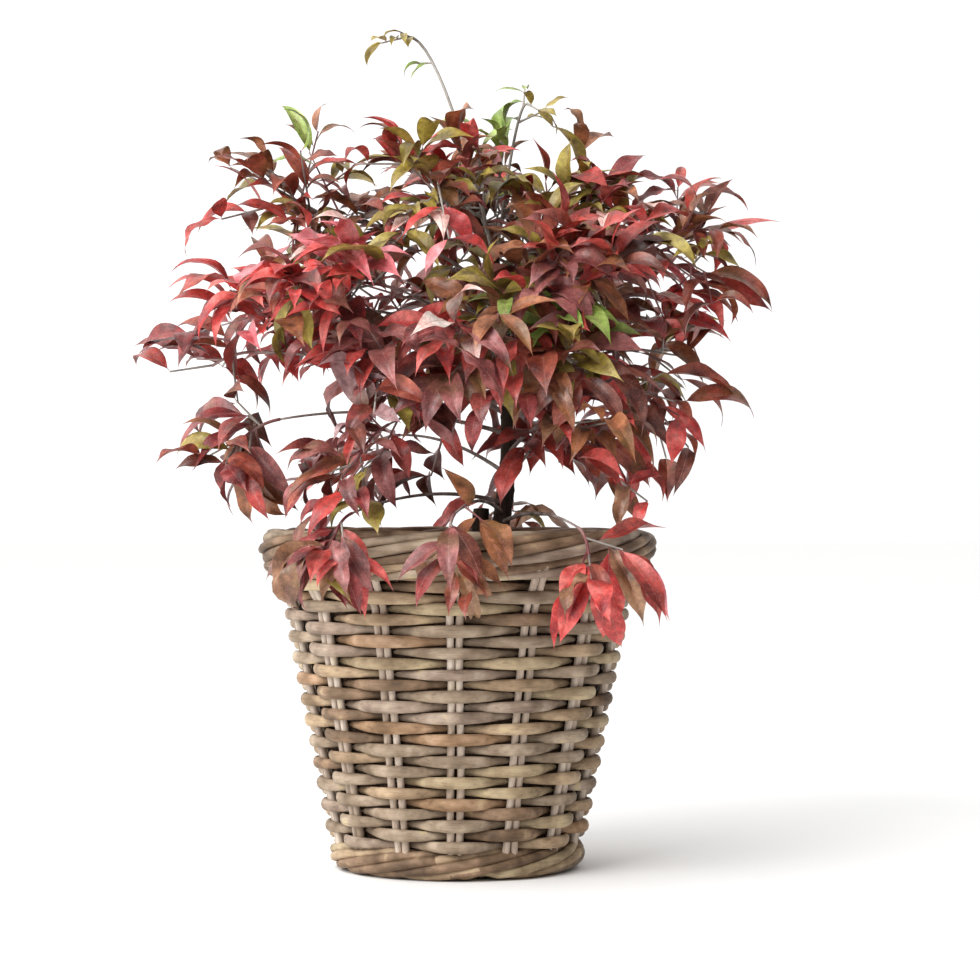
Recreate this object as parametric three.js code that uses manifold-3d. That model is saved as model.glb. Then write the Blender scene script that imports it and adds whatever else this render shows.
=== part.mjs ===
// Heavenly bamboo (Nandina domestica, a dwarf red form) growing in a woven rattan basket.
// Units are millimetres, +Z is up, and -Y is the side that faces the viewer. The origin is the middle of
// the basket's flat underside, on the ground.
//
// The basket is a flared woven wall between a rolled rim and a rolled foot, over a flat floor, and is
// filled with potting soil. One leaning trunk stands in the soil and carries a bough for each mass of
// foliage. A mass is a stem that goes on from its bough's tip, or rises straight from the trunk, and
// branches into twigs, each with pairs of leaves and a leaf at its end. Every mass keeps to the space that
// is nearer to its own heart than to any other's, so no two of them can touch.

import * as THREE from "three";
import { mergeVertices } from "three/addons/utils/BufferGeometryUtils.js";
import Module from "manifold-3d";

const wasm = await Module();
wasm.setup();

// ---------------------------------------------------------------- driving dimensions

const GAP = 0.35; // between solids that touch in the real object
const BASKET_HEIGHT = 236;

const FOOT = { radius: 79, halfWidth: 11, halfHeight: 10.5, lobes: 4, turns: 1, segments: 30 };
const RIM = { radius: 127.5, halfWidth: 13.5, halfHeight: 16.5, lobes: 5, turns: 2, segments: 36 };
const ROLL_GROOVE = 0.86; // how far out a roll is between two of its rods, as a share of its half width
const FOOT_FLAT = 1.5; // how much of the foot is worn flat underneath
const FLOOR_THICKNESS = 12;

const WALL_BOTTOM = 2 * FOOT.halfHeight - FOOT_FLAT + GAP;
const WALL_TOP = BASKET_HEIGHT - 2 * RIM.halfHeight - GAP;
const WALL_RADIUS_LOW = 83; // middle of the wall at its bottom
const WALL_RADIUS_HIGH = 114.5; // middle of the wall where the flare begins
const FLARE_START = 184;
const FLARE_RADIUS = 126; // middle of the wall at its top
const WEAVE_ROWS = 25;
const STAKE_PAIRS = 14;
const RELIEF = { front: 8, between: 4.5, behind: 1.5 }; // how far a weaver is out from the wall's middle
const WALL_INSIDE = 7; // how far the wall's inner face is in from its middle

const SOIL_TOP = 205;
const SOIL_CLEARANCE = 1.5;
const SOIL_SHOULDER = 2; // how far the soil slopes out where it comes up from the foot into the wall

const TRUNK = {
  foot: [24, 2],
  bend: [47, -2, 300],
  tip: [26, 5, 428],
  radius: 7.2,
  tipRadius: 3,
  flareRadius: 12.5,
  flareHeight: 26,
};
const STUB = { foot: [15, -3], tip: [17, -6, 250], radius: 5.2, footSwell: 1.3 }; // an old cane, pruned away

// Shares are of a limb's or leaf's own length, unless the line says otherwise, and angles are in degrees.
// A pair of numbers is a range that the seeded rule draws from.
const BOUGH = { radius: 2.1, tipRadius: 1.5, arch: 0.1, entryRise: 0.6 };
const STEM = { shareOfReach: 0.5, radius: 1.4, tipRadius: 1.25, firstTwigAt: 0.42, lastTwigAt: 0.97 };
const TRUNK_STEM_BEND = { outward: 0.65, upward: 1.1 }; // where a stem with no bough turns
const TWIG = { radius: 1.1, tipRadius: 0.9, droop: 0.22, shareOfReach: [0.3, 0.62] };
const TWIG_TURN = [-60, 60]; // on from its place in the spiral round the stem
const TWIG_OPENING = { atFoot: 100, atTip: 30, vary: [-20, 20] }; // away from the stem
const GOLDEN_ANGLE = 137.508;

const LEAF = { width: 0.4, widestAt: 0.42, thickness: 0.024, arch: 0.09, edgeDrop: 0.03 };
const LEAF_LENGTH = [0.75, 1.25]; // shares of its mass's
const LEAF_SPREAD = { side: [43, 73], end: [-10, 10] }; // away from the twig
const LEAF_TURN = [-50, 50]; // round the twig, from level
const LEAF_HANG = [-0.1, 1.1]; // shares of its mass's
const LEAF_FACING = { outward: 0.4, light: [-0.25, -0.75, 0.3], roll: [-0.8, 0.8] };
const LEAF_PAIRS_AT = [0.78, 0.3]; // along the twig
const SIDE_LEAF = 0.9; // its length as a share of the end leaf's
const SUNK = { side: 0.3, end: 1.5 }; // how far a leaf's root is behind the twig's axis or its end

const SPACE_MARGIN = 0.4; // from the border of a mass's own space
const RIM_CLEARANCE = 3; // between the basket and what hangs over its rim
const CLEARANCE = 0.5; // between a leaf or twig and what it doesn't grow on
const TRIES = 24; // at finding room for a twig or leaf
const CROWN_HEART = [20, 0, 330];
const SEED = 20261;

// Openings right through the crown and bays in its outline, seen from the front: the middle of each, and half
// its width and height.
const SKY_GAPS = [
  { x: -101, z: 316, halfWidth: 29, halfHeight: 28 },
  { x: 66, z: 262, halfWidth: 32, halfHeight: 17 },
  { x: 131, z: 352, halfWidth: 9, halfHeight: 9 },
  { x: 154, z: 349, halfWidth: 6, halfHeight: 8 },
  { x: -162, z: 319, halfWidth: 8, halfHeight: 7 },
  { x: -134, z: 346, halfWidth: 7, halfHeight: 6 },
  { x: -128, z: 435, halfWidth: 11, halfHeight: 6 },
  { x: 183, z: 451, halfWidth: 8, halfHeight: 7 },
  { x: -71, z: 505, halfWidth: 8, halfHeight: 5 },
  { x: -196, z: 464, halfWidth: 30, halfHeight: 24 },
  { x: -196, z: 262, halfWidth: 48, halfHeight: 16 },
  { x: 208, z: 337, halfWidth: 32, halfHeight: 15 },
  { x: 212, z: 270, halfWidth: 50, halfHeight: 20 },
  { x: 226, z: 397, halfWidth: 24, halfHeight: 10 },
  { x: -214, z: 296, halfWidth: 30, halfHeight: 14 },
  { x: -186, z: 333, halfWidth: 28, halfHeight: 13 },
  { x: 173, z: 306, halfWidth: 13, halfHeight: 17 },
  { x: 186, z: 361, halfWidth: 20, halfHeight: 6 },
];

// Each mass: the middle of its space, how far it reaches from there, the height at which its bough leaves
// the trunk (its own stem, where it has no bough), its leaves' length and how far down they hang, its colour,
// and how many twigs it tries to grow.
const MASSES = [
  // name, heart, reach, from, hasBough, leaf, hang, tint, twigs
  ["sprig_left", [-38, 0, 579], 34, 424, false, 22, 1.2, "olive", 4],
  ["sprig_right", [50, -4, 532], 42, 421, false, 26, 1.0, "olive", 4],
  ["top_front", [-14, -48, 462], 90, 416, false, 46, 0.3, "olive", 7],
  ["top_back", [12, 58, 462], 92, 411, false, 50, 0.3, "copper", 6],
  ["top_left", [-106, -14, 456], 92, 396, true, 48, 0.4, "burgundy", 7],
  ["top_right", [88, -14, 452], 92, 402, true, 48, 0.35, "burgundy", 7],
  ["upper_right", [148, -8, 430], 90, 372, true, 52, 0.5, "burgundy", 7],
  ["upper_left", [-134, -20, 386], 86, 358, true, 62, 0.4, "scarlet", 7],
  ["upper_front_left", [-70, -88, 402], 90, 344, true, 64, 0.5, "scarlet", 7],
  ["upper_front_right", [76, -90, 404], 90, 387, true, 59, 0.5, "crimson", 7],
  ["middle_front", [14, -116, 362], 84, 351, true, 62, 0.7, "crimson", 6],
  ["middle_front_left", [-52, -106, 334], 72, 334, true, 62, 0.8, "plum", 5],
  ["middle_front_right", [88, -100, 346], 74, 319, true, 60, 0.7, "olive", 5],
  ["upper_back_left", [-84, 84, 398], 98, 365, true, 61, 0.5, "scarlet", 6],
  ["upper_back", [8, 112, 386], 98, 351, true, 64, 0.5, "burgundy", 6],
  ["upper_back_right", [98, 80, 400], 98, 330, true, 61, 0.5, "crimson", 6],
  ["middle_left", [-172, 6, 350], 64, 316, true, 62, 0.8, "plum", 6],
  ["middle_right", [138, 40, 362], 80, 309, true, 62, 0.6, "burgundy", 6],
  ["lower_left", [-150, -46, 294], 70, 302, true, 56, 0.9, "crimson", 6],
  ["lower_right", [136, -52, 318], 74, 337, true, 62, 0.9, "crimson", 6],
  ["lower_front_left", [-66, -100, 282], 78, 323, true, 62, 0.9, "crimson", 6],
  ["lower_front_right", [84, -98, 294], 74, 288, true, 62, 0.9, "crimson", 5],
  ["lower_back_left", [-72, 98, 290], 86, 274, true, 64, 0.7, "burgundy", 5],
  ["lower_back_right", [78, 100, 292], 88, 260, true, 64, 0.7, "plum", 5],
  ["hanging_left", [-80, -142, 226], 60, 254, true, 57, 1.5, "plum", 4],
  ["hanging_front", [-4, -166, 228], 54, 247, true, 57, 1.5, "burgundy", 3],
  ["hanging_right", [88, -146, 212], 66, 240, true, 72, 1.9, "scarlet", 3],
  ["hanging_back", [30, 172, 226], 62, 233, true, 64, 1.4, "crimson", 3],
].map(([name, heart, reach, from, hasBough, leaf, hang, tint, twigs]) => (
  { name, heart, reach, from, hasBough, leaf, hang, tint, twigs }
));

const LEAF_ROUGHNESS = 0.6;
const FINISHES = {
  rattan: ["#a08d76", 0.75],
  soil: ["#33261e", 1],
  bark: ["#2f2420", 0.9],
  scarlet: ["#b8373a", LEAF_ROUGHNESS],
  crimson: ["#8e2734", LEAF_ROUGHNESS],
  burgundy: ["#6b2a31", LEAF_ROUGHNESS],
  copper: ["#8a3f33", LEAF_ROUGHNESS],
  plum: ["#63404a", LEAF_ROUGHNESS],
  olive: ["#7c7436", LEAF_ROUGHNESS],
};

// How finely each round thing is faceted: sides round it, and steps along it.
const FACETS = {
  turned: { sides: 24 },
  trunk: { sides: 8, steps: 10 },
  stub: { sides: 6, steps: 2 },
  bough: { sides: 4, steps: 4 },
  stem: { sides: 3, steps: 2 },
  trunkStem: { sides: 3, steps: 5 },
  twig: { sides: 3, steps: 1 },
};
const PIECES = { wood: 6, limb: 3, twig: 1 }; // how many straight pieces stand for one in the room tests

// ---------------------------------------------------------------- small tools

const vec = (x = 0, y = 0, z = 0) => new THREE.Vector3(x, y, z);
const UP = vec(0, 0, 1);
const radians = THREE.MathUtils.degToRad;
const lerp = THREE.MathUtils.lerp;
const drawn = (random, [low, high]) => lerp(low, high, random());

// A repeatable stream of numbers from 0 to 1 for the thing that the keys number.
function randomStream(...keys) {
  let state = SEED;
  for (const key of keys) state = Math.imul(state ^ (key + 1), 0x9e3779b1) >>> 0;
  return () => {
    state = (state + 0x6d2b79f5) >>> 0;
    let mixed = Math.imul(state ^ (state >>> 15), state | 1);
    mixed ^= mixed + Math.imul(mixed ^ (mixed >>> 7), mixed | 61);
    return ((mixed ^ (mixed >>> 14)) >>> 0) / 4294967296;
  };
}

// A unit vector at right angles to the one given, and as near as can be to the wish.
function acrossFrom(direction, wish) {
  const across = wish.clone().addScaledVector(direction, -wish.dot(direction));
  return across.lengthSq() > 1e-8 ? across.normalize() : acrossFrom(direction, vec(1, 0, 0));
}

// ---------------------------------------------------------------- solids

function solidOf(geometry) {
  const bare = geometry.clone();
  bare.deleteAttribute("normal");
  bare.deleteAttribute("uv");
  const merged = mergeVertices(bare, 1e-3);
  const vertProperties = new Float32Array(merged.attributes.position.array);
  const triVerts = new Uint32Array(merged.index.array);
  return new wasm.Manifold(new wasm.Mesh({ numProp: 3, vertProperties, triVerts }));
}

function geometryOf(solid) {
  const { vertProperties, triVerts } = solid.getMesh();
  return new THREE.BufferGeometry()
    .setAttribute("position", new THREE.BufferAttribute(new Float32Array(vertProperties), 3))
    .setIndex(new THREE.BufferAttribute(new Uint32Array(triVerts), 1));
}

function largestBody(solid) {
  return solid.decompose().reduce((best, body) => (body.volume() > best.volume() ? body : best));
}

// ---------------------------------------------------------------- the basket

// The middle of the wall: a straight taper, then a quick flare under the rim.
function wallRadius(z) {
  if (z < FLARE_START) {
    return lerp(WALL_RADIUS_LOW, WALL_RADIUS_HIGH, (z - WALL_BOTTOM) / (FLARE_START - WALL_BOTTOM));
  }
  return lerp(WALL_RADIUS_HIGH, FLARE_RADIUS, (z - FLARE_START) / (WALL_TOP - FLARE_START));
}

// How far the woven face stands out at one row and one column. Columns fall on a stake pair and between
// two pairs in turn, and a weaver goes in front of every other pair.
function weaveRelief(row, column) {
  if (column % 2 === 1) return RELIEF.between;
  return (row + column / 2) % 2 === 0 ? RELIEF.front : RELIEF.behind;
}

// A lathed ring, Z up, whose corner j of column i is moved to where place(i, j) says: [radius, height].
function shapedRing(segments, corners, place) {
  const profile = [];
  for (let j = 0; j <= corners; j++) profile.push(new THREE.Vector2(1, j));
  const ring = new THREE.LatheGeometry(profile, segments);
  const position = ring.attributes.position;
  for (let i = 0; i <= segments; i++) {
    const angle = ((i % segments) / segments) * 2 * Math.PI;
    for (let j = 0; j <= corners; j++) {
      const [radius, height] = place(i % segments, j % corners);
      position.setXYZ(i * (corners + 1) + j, radius * Math.sin(angle), -radius * Math.cos(angle), height);
    }
  }
  return ring;
}

function basketWall() {
  const rings = WEAVE_ROWS + 1;
  const innerHeights = [WALL_TOP, FLARE_START, WALL_BOTTOM];
  return shapedRing(2 * STAKE_PAIRS, rings + innerHeights.length, (column, ring) => {
    if (ring < rings) {
      const z = lerp(WALL_BOTTOM, WALL_TOP, ring / WEAVE_ROWS);
      return [wallRadius(z) + weaveRelief(ring, column), z];
    }
    const z = innerHeights[ring - rings];
    return [wallRadius(z) - WALL_INSIDE, z];
  });
}

// A rolled border: rods laid side by side round a ring, which they wind about as they go along it.
function rolledBorder({ radius, halfWidth, halfHeight, lobes, turns, segments }, middle) {
  const corners = 2 * lobes;
  return shapedRing(segments, corners, (column, corner) => {
    const winding = (turns * column) / segments;
    const angle = (corner / corners + winding) * 2 * Math.PI;
    const share = corner % 2 === 0 ? 1 : ROLL_GROOVE;
    const height = middle + share * halfHeight * Math.sin(angle);
    return [radius + share * halfWidth * Math.cos(angle), Math.max(height, 0)];
  });
}

// A solid of revolution from [radius, height] corners that start and end on the axis.
function turned(corners) {
  const profile = corners.map(([radius, height]) => new THREE.Vector2(radius, height));
  return new THREE.LatheGeometry(profile, FACETS.turned.sides).rotateX(Math.PI / 2);
}

function basketFloor() {
  const radius = FOOT.radius - FOOT.halfWidth - 2 * GAP;
  return turned([[0, 0], [radius, 0], [radius, FLOOR_THICKNESS], [0, FLOOR_THICKNESS]]);
}

function soilPlug() {
  const bottom = FLOOR_THICKNESS + GAP;
  const shoulder = WALL_BOTTOM + SOIL_SHOULDER;
  const insideWall = (z) => wallRadius(z) - WALL_INSIDE - SOIL_CLEARANCE;
  const insideFoot = FOOT.radius - FOOT.halfWidth - SOIL_CLEARANCE;
  const insideRim = RIM.radius - RIM.halfWidth - SOIL_CLEARANCE;
  return turned([
    [0, bottom],
    [insideFoot, bottom],
    [insideFoot, WALL_BOTTOM],
    [insideWall(shoulder), shoulder],
    [insideWall(FLARE_START), FLARE_START],
    [insideRim, WALL_TOP],
    [insideRim, SOIL_TOP],
    [0, SOIL_TOP],
  ]);
}

// ---------------------------------------------------------------- limbs

// A limb is a curve with a radius at each share t of its length. Its cross sections are level on an
// upright limb, and square to the curve on any other.
function limb(start, bend, end, radiusAt, upright = false) {
  const curve = new THREE.QuadraticBezierCurve3(start, bend, end);
  const at = (t) => curve.getPoint(t);
  const along = (t) => curve.getTangent(t);
  const sideWish = bend.clone().sub(start).cross(end.clone().sub(bend));
  return { at, along, radiusAt, sideWish, upright };
}

const taper = (from, to) => (t) => lerp(from, to, t);

// A cylinder bent along the limb.
function limbGeometry({ at, along, radiusAt, sideWish, upright }, { sides, steps }) {
  const geometry = new THREE.CylinderGeometry(1, 1, 1, sides, steps);
  const position = geometry.attributes.position;
  for (let i = 0; i < position.count; i++) {
    const corner = vec().fromBufferAttribute(position, i);
    const t = corner.y + 0.5;
    const axis = upright ? UP : along(t);
    const side = acrossFrom(axis, upright ? vec(0, -1, 0) : sideWish);
    const front = side.clone().cross(axis);
    const place = at(t)
      .addScaledVector(side, corner.x * radiusAt(t))
      .addScaledVector(front, corner.z * radiusAt(t));
    position.setXYZ(i, place.x, place.y, place.z);
  }
  return geometry;
}

// The trunk, or with a swell the room that it takes up among its boughs.
function trunkLimb(swell = 0) {
  const { foot, bend, tip, radius, tipRadius, flareRadius, flareHeight } = TRUNK;
  const height = tip[2] - SOIL_TOP;
  const radiusAt = (t) => {
    const flare = Math.max(0, 1 - (t * height) / flareHeight);
    return lerp(radius, tipRadius, t) + (flareRadius - radius) * flare * flare + swell;
  };
  const top = vec(...tip).addScaledVector(UP, swell);
  return limb(vec(...foot, SOIL_TOP + GAP), vec(...bend), top, radiusAt, true);
}

function stubLimb() {
  const { foot, tip, radius, footSwell } = STUB;
  const start = vec(...foot, SOIL_TOP + GAP);
  const middle = vec(...foot, lerp(SOIL_TOP, tip[2], 0.5));
  return limb(start, middle, vec(...tip), taper(radius * footSwell, radius), true);
}

// The share of a rising limb's length at a height, found by halving.
function shareAtHeight({ at }, z) {
  let low = 0;
  let high = 1;
  for (let i = 0; i < 30; i++) {
    const middle = (low + high) / 2;
    if (at(middle).z < z) low = middle;
    else high = middle;
  }
  return low;
}

function outwardOf(mass) {
  return vec(...mass.heart).sub(vec(...CROWN_HEART)).normalize();
}

// From the trunk's axis to the near side of its mass, rising in an arch on the way. The more a mass hangs,
// the more its bough enters it from above.
function boughLimb(mass, trunk) {
  const start = trunk.at(shareAtHeight(trunk, mass.from));
  const heart = vec(...mass.heart);
  const toHeart = heart.clone().sub(start);
  const backwards = toHeart.clone().normalize().negate();
  const entry = backwards.addScaledVector(UP, mass.hang * BOUGH.entryRise).normalize();
  const end = heart.addScaledVector(entry, mass.reach * STEM.shareOfReach);
  const bend = start.clone().lerp(end, 0.5).addScaledVector(UP, BOUGH.arch * toHeart.length());
  return limb(start, bend, end, taper(BOUGH.radius, BOUGH.tipRadius));
}

// The stem that carries a mass's twigs goes on from the bough, or rises from the trunk, to the mass's heart.
function stemLimb(mass, bough, trunk) {
  const heart = vec(...mass.heart);
  if (bough) {
    const start = bough.at(1).addScaledVector(bough.along(1), GAP);
    const bend = start.clone().addScaledVector(bough.along(1), start.distanceTo(heart) / 2);
    return limb(start, bend, heart, taper(STEM.radius, STEM.tipRadius));
  }
  const start = trunk.at(shareAtHeight(trunk, mass.from));
  const bend = start.clone().lerp(heart, TRUNK_STEM_BEND.outward);
  bend.z = lerp(start.z, heart.z, TRUNK_STEM_BEND.upward);
  return limb(start, bend, heart, taper(STEM.radius, STEM.tipRadius));
}

// ---------------------------------------------------------------- room between pieces

// A convex piece: corner points with a radius round them, the line it lies along, and other directions that
// may show it apart from a neighbour.
function roundPiece(from, to, radius) {
  return { points: [from, to], radius, line: to.clone().sub(from).normalize(), faces: [] };
}

function limbPieces(limbShape, steps) {
  const pieces = [];
  for (let i = 0; i < steps; i++) {
    const [a, b] = [i / steps, (i + 1) / steps];
    pieces.push(roundPiece(limbShape.at(a), limbShape.at(b), limbShape.radiusAt(a)));
  }
  return pieces;
}

function span({ points, radius }, axis) {
  const places = points.map((point) => point.dot(axis));
  return [Math.min(...places) - radius, Math.max(...places) + radius];
}

function middleOf({ points }) {
  return points.reduce((sum, point) => sum.add(point), vec()).divideScalar(points.length);
}

function partingDirections(a, b) {
  const between = middleOf(b).sub(middleOf(a));
  const level = (line) => between.clone().addScaledVector(line, -between.dot(line));
  return [between, ...a.faces, ...b.faces, level(a.line), level(b.line), a.line.clone().cross(b.line)];
}

// True when some direction shows two pieces apart by the clearance.
function apart(a, b, clearance = CLEARANCE) {
  return partingDirections(a, b).some((direction) => {
    if (direction.lengthSq() < 1e-9) return false;
    const axis = direction.clone().normalize();
    const [lowA, highA] = span(a, axis);
    const [lowB, highB] = span(b, axis);
    return highA + clearance < lowB || highB + clearance < lowA;
  });
}

// A mass's own space: within its reach, and nearer to its heart than to any other mass's.
function inOwnSpace(points, mass) {
  const heart = vec(...mass.heart);
  if (points.some((point) => point.distanceTo(heart) > mass.reach)) return false;
  return MASSES.every((other) => {
    if (other === mass) return true;
    const away = vec(...other.heart).sub(heart);
    const border = away.length() / 2 - SPACE_MARGIN;
    away.normalize();
    return points.every((point) => point.clone().sub(heart).dot(away) < border);
  });
}

// True when nothing of a piece shows in an opening or a bay of the crown.
function clearOfSky(points) {
  return SKY_GAPS.every(({ x, z, halfWidth, halfHeight }) =>
    points.every((point) => Math.hypot((point.x - x) / halfWidth, (point.z - z) / halfHeight) > 1));
}

// True when a piece stays above the rim or outside the basket.
function clearOfBasket(points) {
  const outside = RIM.radius + RIM.halfWidth + RIM_CLEARANCE;
  const above = points.every((point) => point.z > BASKET_HEIGHT + RIM_CLEARANCE);
  return above || points.every((point) => Math.hypot(point.x, point.y) > outside);
}

// ---------------------------------------------------------------- leaves, twigs and masses

// The six corners of a leaf that arches from its root to its tip and folds a little along its midrib.
function leafCorners(root, direction, normal, length) {
  const side = direction.clone().cross(normal);
  const middle = root.clone()
    .addScaledVector(direction, length * LEAF.widestAt)
    .addScaledVector(normal, length * LEAF.arch);
  const edge = (sign) => middle.clone()
    .addScaledVector(side, (sign * length * LEAF.width) / 2)
    .addScaledVector(normal, -length * LEAF.edgeDrop);
  return {
    root,
    tip: root.clone().addScaledVector(direction, length),
    left: edge(-1),
    right: edge(1),
    top: middle.clone().addScaledVector(normal, (length * LEAF.thickness) / 2),
    under: middle.clone().addScaledVector(normal, (-length * LEAF.thickness) / 2),
  };
}

// An octahedron whose corners are moved to the leaf's: x is its width, y its length, z its thickness.
function leafGeometry(corners) {
  const leaf = new THREE.OctahedronGeometry(1);
  const position = leaf.attributes.position;
  for (let i = 0; i < position.count; i++) {
    const [x, y, z] = [position.getX(i), position.getY(i), position.getZ(i)];
    let place = z > 0 ? corners.top : corners.under;
    if (Math.abs(x) > 0.5) place = x > 0 ? corners.right : corners.left;
    if (Math.abs(y) > 0.5) place = y > 0 ? corners.tip : corners.root;
    position.setXYZ(i, place.x, place.y, place.z);
  }
  return leaf;
}

// The leaf as a convex piece: its faces are those of its thin wedge and its two long sides.
function leafPiece({ root, tip, left, right, top, under }) {
  const line = tip.clone().sub(root).normalize();
  const across = right.clone().sub(left).normalize();
  const normal = line.clone().cross(across);
  const faceOf = (a, b, c) => b.clone().sub(a).cross(c.clone().sub(a));
  const faces = [
    normal,
    across,
    faceOf(root, left, top),
    faceOf(root, right, top),
    faceOf(tip, left, under),
    faceOf(tip, right, under),
    right.clone().sub(root).cross(normal),
    left.clone().sub(root).cross(normal),
    right.clone().sub(tip).cross(normal),
    left.clone().sub(tip).cross(normal),
  ];
  return { points: [root, tip, left, right, top, under], radius: 0, line, faces };
}

// Where the leaves of a twig sit: one at its end and pairs behind it.
const LEAF_PLACES = [
  { at: 1, side: 0, size: 1 },
  ...LEAF_PAIRS_AT.flatMap((at) => [-1, 1].map((side) => ({ at, side, size: SIDE_LEAF }))),
];

function tryLeaf(mass, twig, place, random) {
  const along = twig.along(place.at);
  const level = acrossFrom(along, along.clone().cross(UP));
  const turn = radians(drawn(random, LEAF_TURN));
  const sideways = level.clone().multiplyScalar(Math.cos(turn))
    .addScaledVector(along.clone().cross(level), Math.sin(turn))
    .multiplyScalar(place.side || 1);
  const spread = radians(drawn(random, place.side ? LEAF_SPREAD.side : LEAF_SPREAD.end));
  const direction = along.clone().multiplyScalar(Math.cos(spread))
    .addScaledVector(sideways, Math.sin(spread))
    .addScaledVector(UP, -mass.hang * drawn(random, LEAF_HANG))
    .normalize();
  const facing = outwardOf(mass).multiplyScalar(LEAF_FACING.outward)
    .add(vec(...LEAF_FACING.light))
    .add(UP)
    .addScaledVector(sideways, drawn(random, LEAF_FACING.roll));
  const length = mass.leaf * place.size * drawn(random, LEAF_LENGTH);
  const root = place.side
    ? twig.at(place.at).addScaledVector(direction, -SUNK.side)
    : twig.at(1).addScaledVector(along, -SUNK.end);
  return leafCorners(root, direction, acrossFrom(direction, facing), length);
}

// Twigs leave the stem one after another round it, the last ones straightest on.
function tryTwig(mass, stem, index, random) {
  const share = lerp(STEM.firstTwigAt, STEM.lastTwigAt, index / (mass.twigs - 1));
  const start = stem.at(share);
  const onward = stem.along(share);
  const turn = radians(index * GOLDEN_ANGLE + drawn(random, TWIG_TURN));
  const usual = lerp(TWIG_OPENING.atFoot, TWIG_OPENING.atTip, share);
  const opening = radians(usual + drawn(random, TWIG_OPENING.vary));
  const side = acrossFrom(onward, UP);
  const front = onward.clone().cross(side);
  const direction = onward.clone().multiplyScalar(Math.cos(opening))
    .addScaledVector(side, Math.cos(turn) * Math.sin(opening))
    .addScaledVector(front, Math.sin(turn) * Math.sin(opening));
  const length = mass.reach * drawn(random, TWIG.shareOfReach);
  const end = start.clone().addScaledVector(direction, length)
    .addScaledVector(UP, -length * TWIG.droop * mass.hang);
  const middle = start.clone().lerp(end, 0.5);
  return limb(start, middle, end, taper(TWIG.radius, TWIG.tipRadius));
}

// The first try that has room, or nothing.
function firstThatFits(make, fits) {
  for (let attempt = 0; attempt < TRIES; attempt++) {
    const candidate = make();
    if (fits(candidate)) return candidate;
  }
  return null;
}

// Every twig and leaf of a mass that has room in its space, clear of the limbs and of each other.
function growMass(mass, massNumber, stem, limbs) {
  const stemPieces = limbPieces(stem, PIECES.limb);
  const twigs = [];
  const leaves = [];
  const leafPieces = [];
  const twigPieces = [];
  const hasRoom = (pieces, neighbours) => {
    const points = pieces.flatMap((piece) => piece.points);
    return inOwnSpace(points, mass) && clearOfBasket(points) && clearOfSky(points) &&
      pieces.every((piece) => neighbours.every((other) => apart(piece, other)));
  };
  for (let index = 0; index < mass.twigs; index++) {
    const random = randomStream(massNumber, index);
    const twig = firstThatFits(
      () => tryTwig(mass, stem, index, random),
      (candidate) => hasRoom(limbPieces(candidate, PIECES.twig), [...limbs, ...leafPieces]),
    );
    if (!twig) continue;
    const leavesBefore = leaves.length;
    LEAF_PLACES.forEach((place) => {
      const leaf = firstThatFits(
        () => tryLeaf(mass, twig, place, random),
        (leaf) => hasRoom([leafPiece(leaf)], [...limbs, ...stemPieces, ...twigPieces, ...leafPieces]),
      );
      if (!leaf) return;
      leaves.push(leaf);
      leafPieces.push(leafPiece(leaf));
    });
    if (leaves.length === leavesBefore) continue;
    twigs.push(twig);
    twigPieces.push(...limbPieces(twig, PIECES.twig));
  }
  return { twigs, leaves };
}

// ---------------------------------------------------------------- assembly

const plant = new THREE.Group();

function add(name, geometry, finish) {
  const [color, roughness] = FINISHES[finish];
  const mesh = new THREE.Mesh(geometry, new THREE.MeshStandardMaterial({ color, roughness, metalness: 0 }));
  mesh.name = name;
  plant.add(mesh);
}

add("basket_wall", basketWall(), "rattan");
add("basket_rim", rolledBorder(RIM, BASKET_HEIGHT - RIM.halfHeight), "rattan");
add("basket_foot", rolledBorder(FOOT, FOOT.halfHeight - FOOT_FLAT), "rattan");
add("basket_floor", basketFloor(), "rattan");
add("soil", soilPlug(), "soil");

const solidLimb = (limbShape, facets) => solidOf(limbGeometry(limbShape, facets));
const trunk = trunkLimb();
const trunkWithRoom = solidLimb(trunkLimb(GAP), FACETS.trunk);
const stub = stubLimb();
add("trunk", geometryOf(solidLimb(trunk, FACETS.trunk).add(solidLimb(stub, FACETS.stub))), "bark");

const boughs = MASSES.map((mass) => (mass.hasBough ? boughLimb(mass, trunk) : null));
const stems = MASSES.map((mass, i) => stemLimb(mass, boughs[i], trunk));
const woodPieces = [trunk, stub].flatMap((wood) => limbPieces(wood, PIECES.wood));

MASSES.forEach((mass, i) => {
  if (boughs[i]) {
    const bough = largestBody(solidLimb(boughs[i], FACETS.bough).subtract(trunkWithRoom));
    add("bough_" + mass.name, geometryOf(bough), "bark");
  }
  const otherLimbs = [...boughs.filter(Boolean), ...stems.filter((stem) => stem !== stems[i])];
  const limbs = [...woodPieces, ...otherLimbs.flatMap((other) => limbPieces(other, PIECES.limb))];
  const { twigs, leaves } = growMass(mass, i, stems[i], limbs);
  const grown = [
    solidLimb(stems[i], boughs[i] ? FACETS.stem : FACETS.trunkStem).subtract(trunkWithRoom),
    ...twigs.map((twig) => solidLimb(twig, FACETS.twig)),
    ...leaves.map((leaf) => solidOf(leafGeometry(leaf))),
  ];
  add("leaves_" + mass.name, geometryOf(largestBody(wasm.Manifold.union(grown))), mass.tint);
});

export default plant;
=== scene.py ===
"""Heavenly bamboo in a woven rattan basket: the looks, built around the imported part.

Sizes in the tables are millimetres, as in the part's source, and become metres where a mesh is made. Only
those of the camera and the lamp are metres.
The crown grows by the source's rule, written again here: the same seeds give the same twigs and leaves,
and the rule is then carried on to finer twigs inside each mass's own space.
"""

import math

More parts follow.
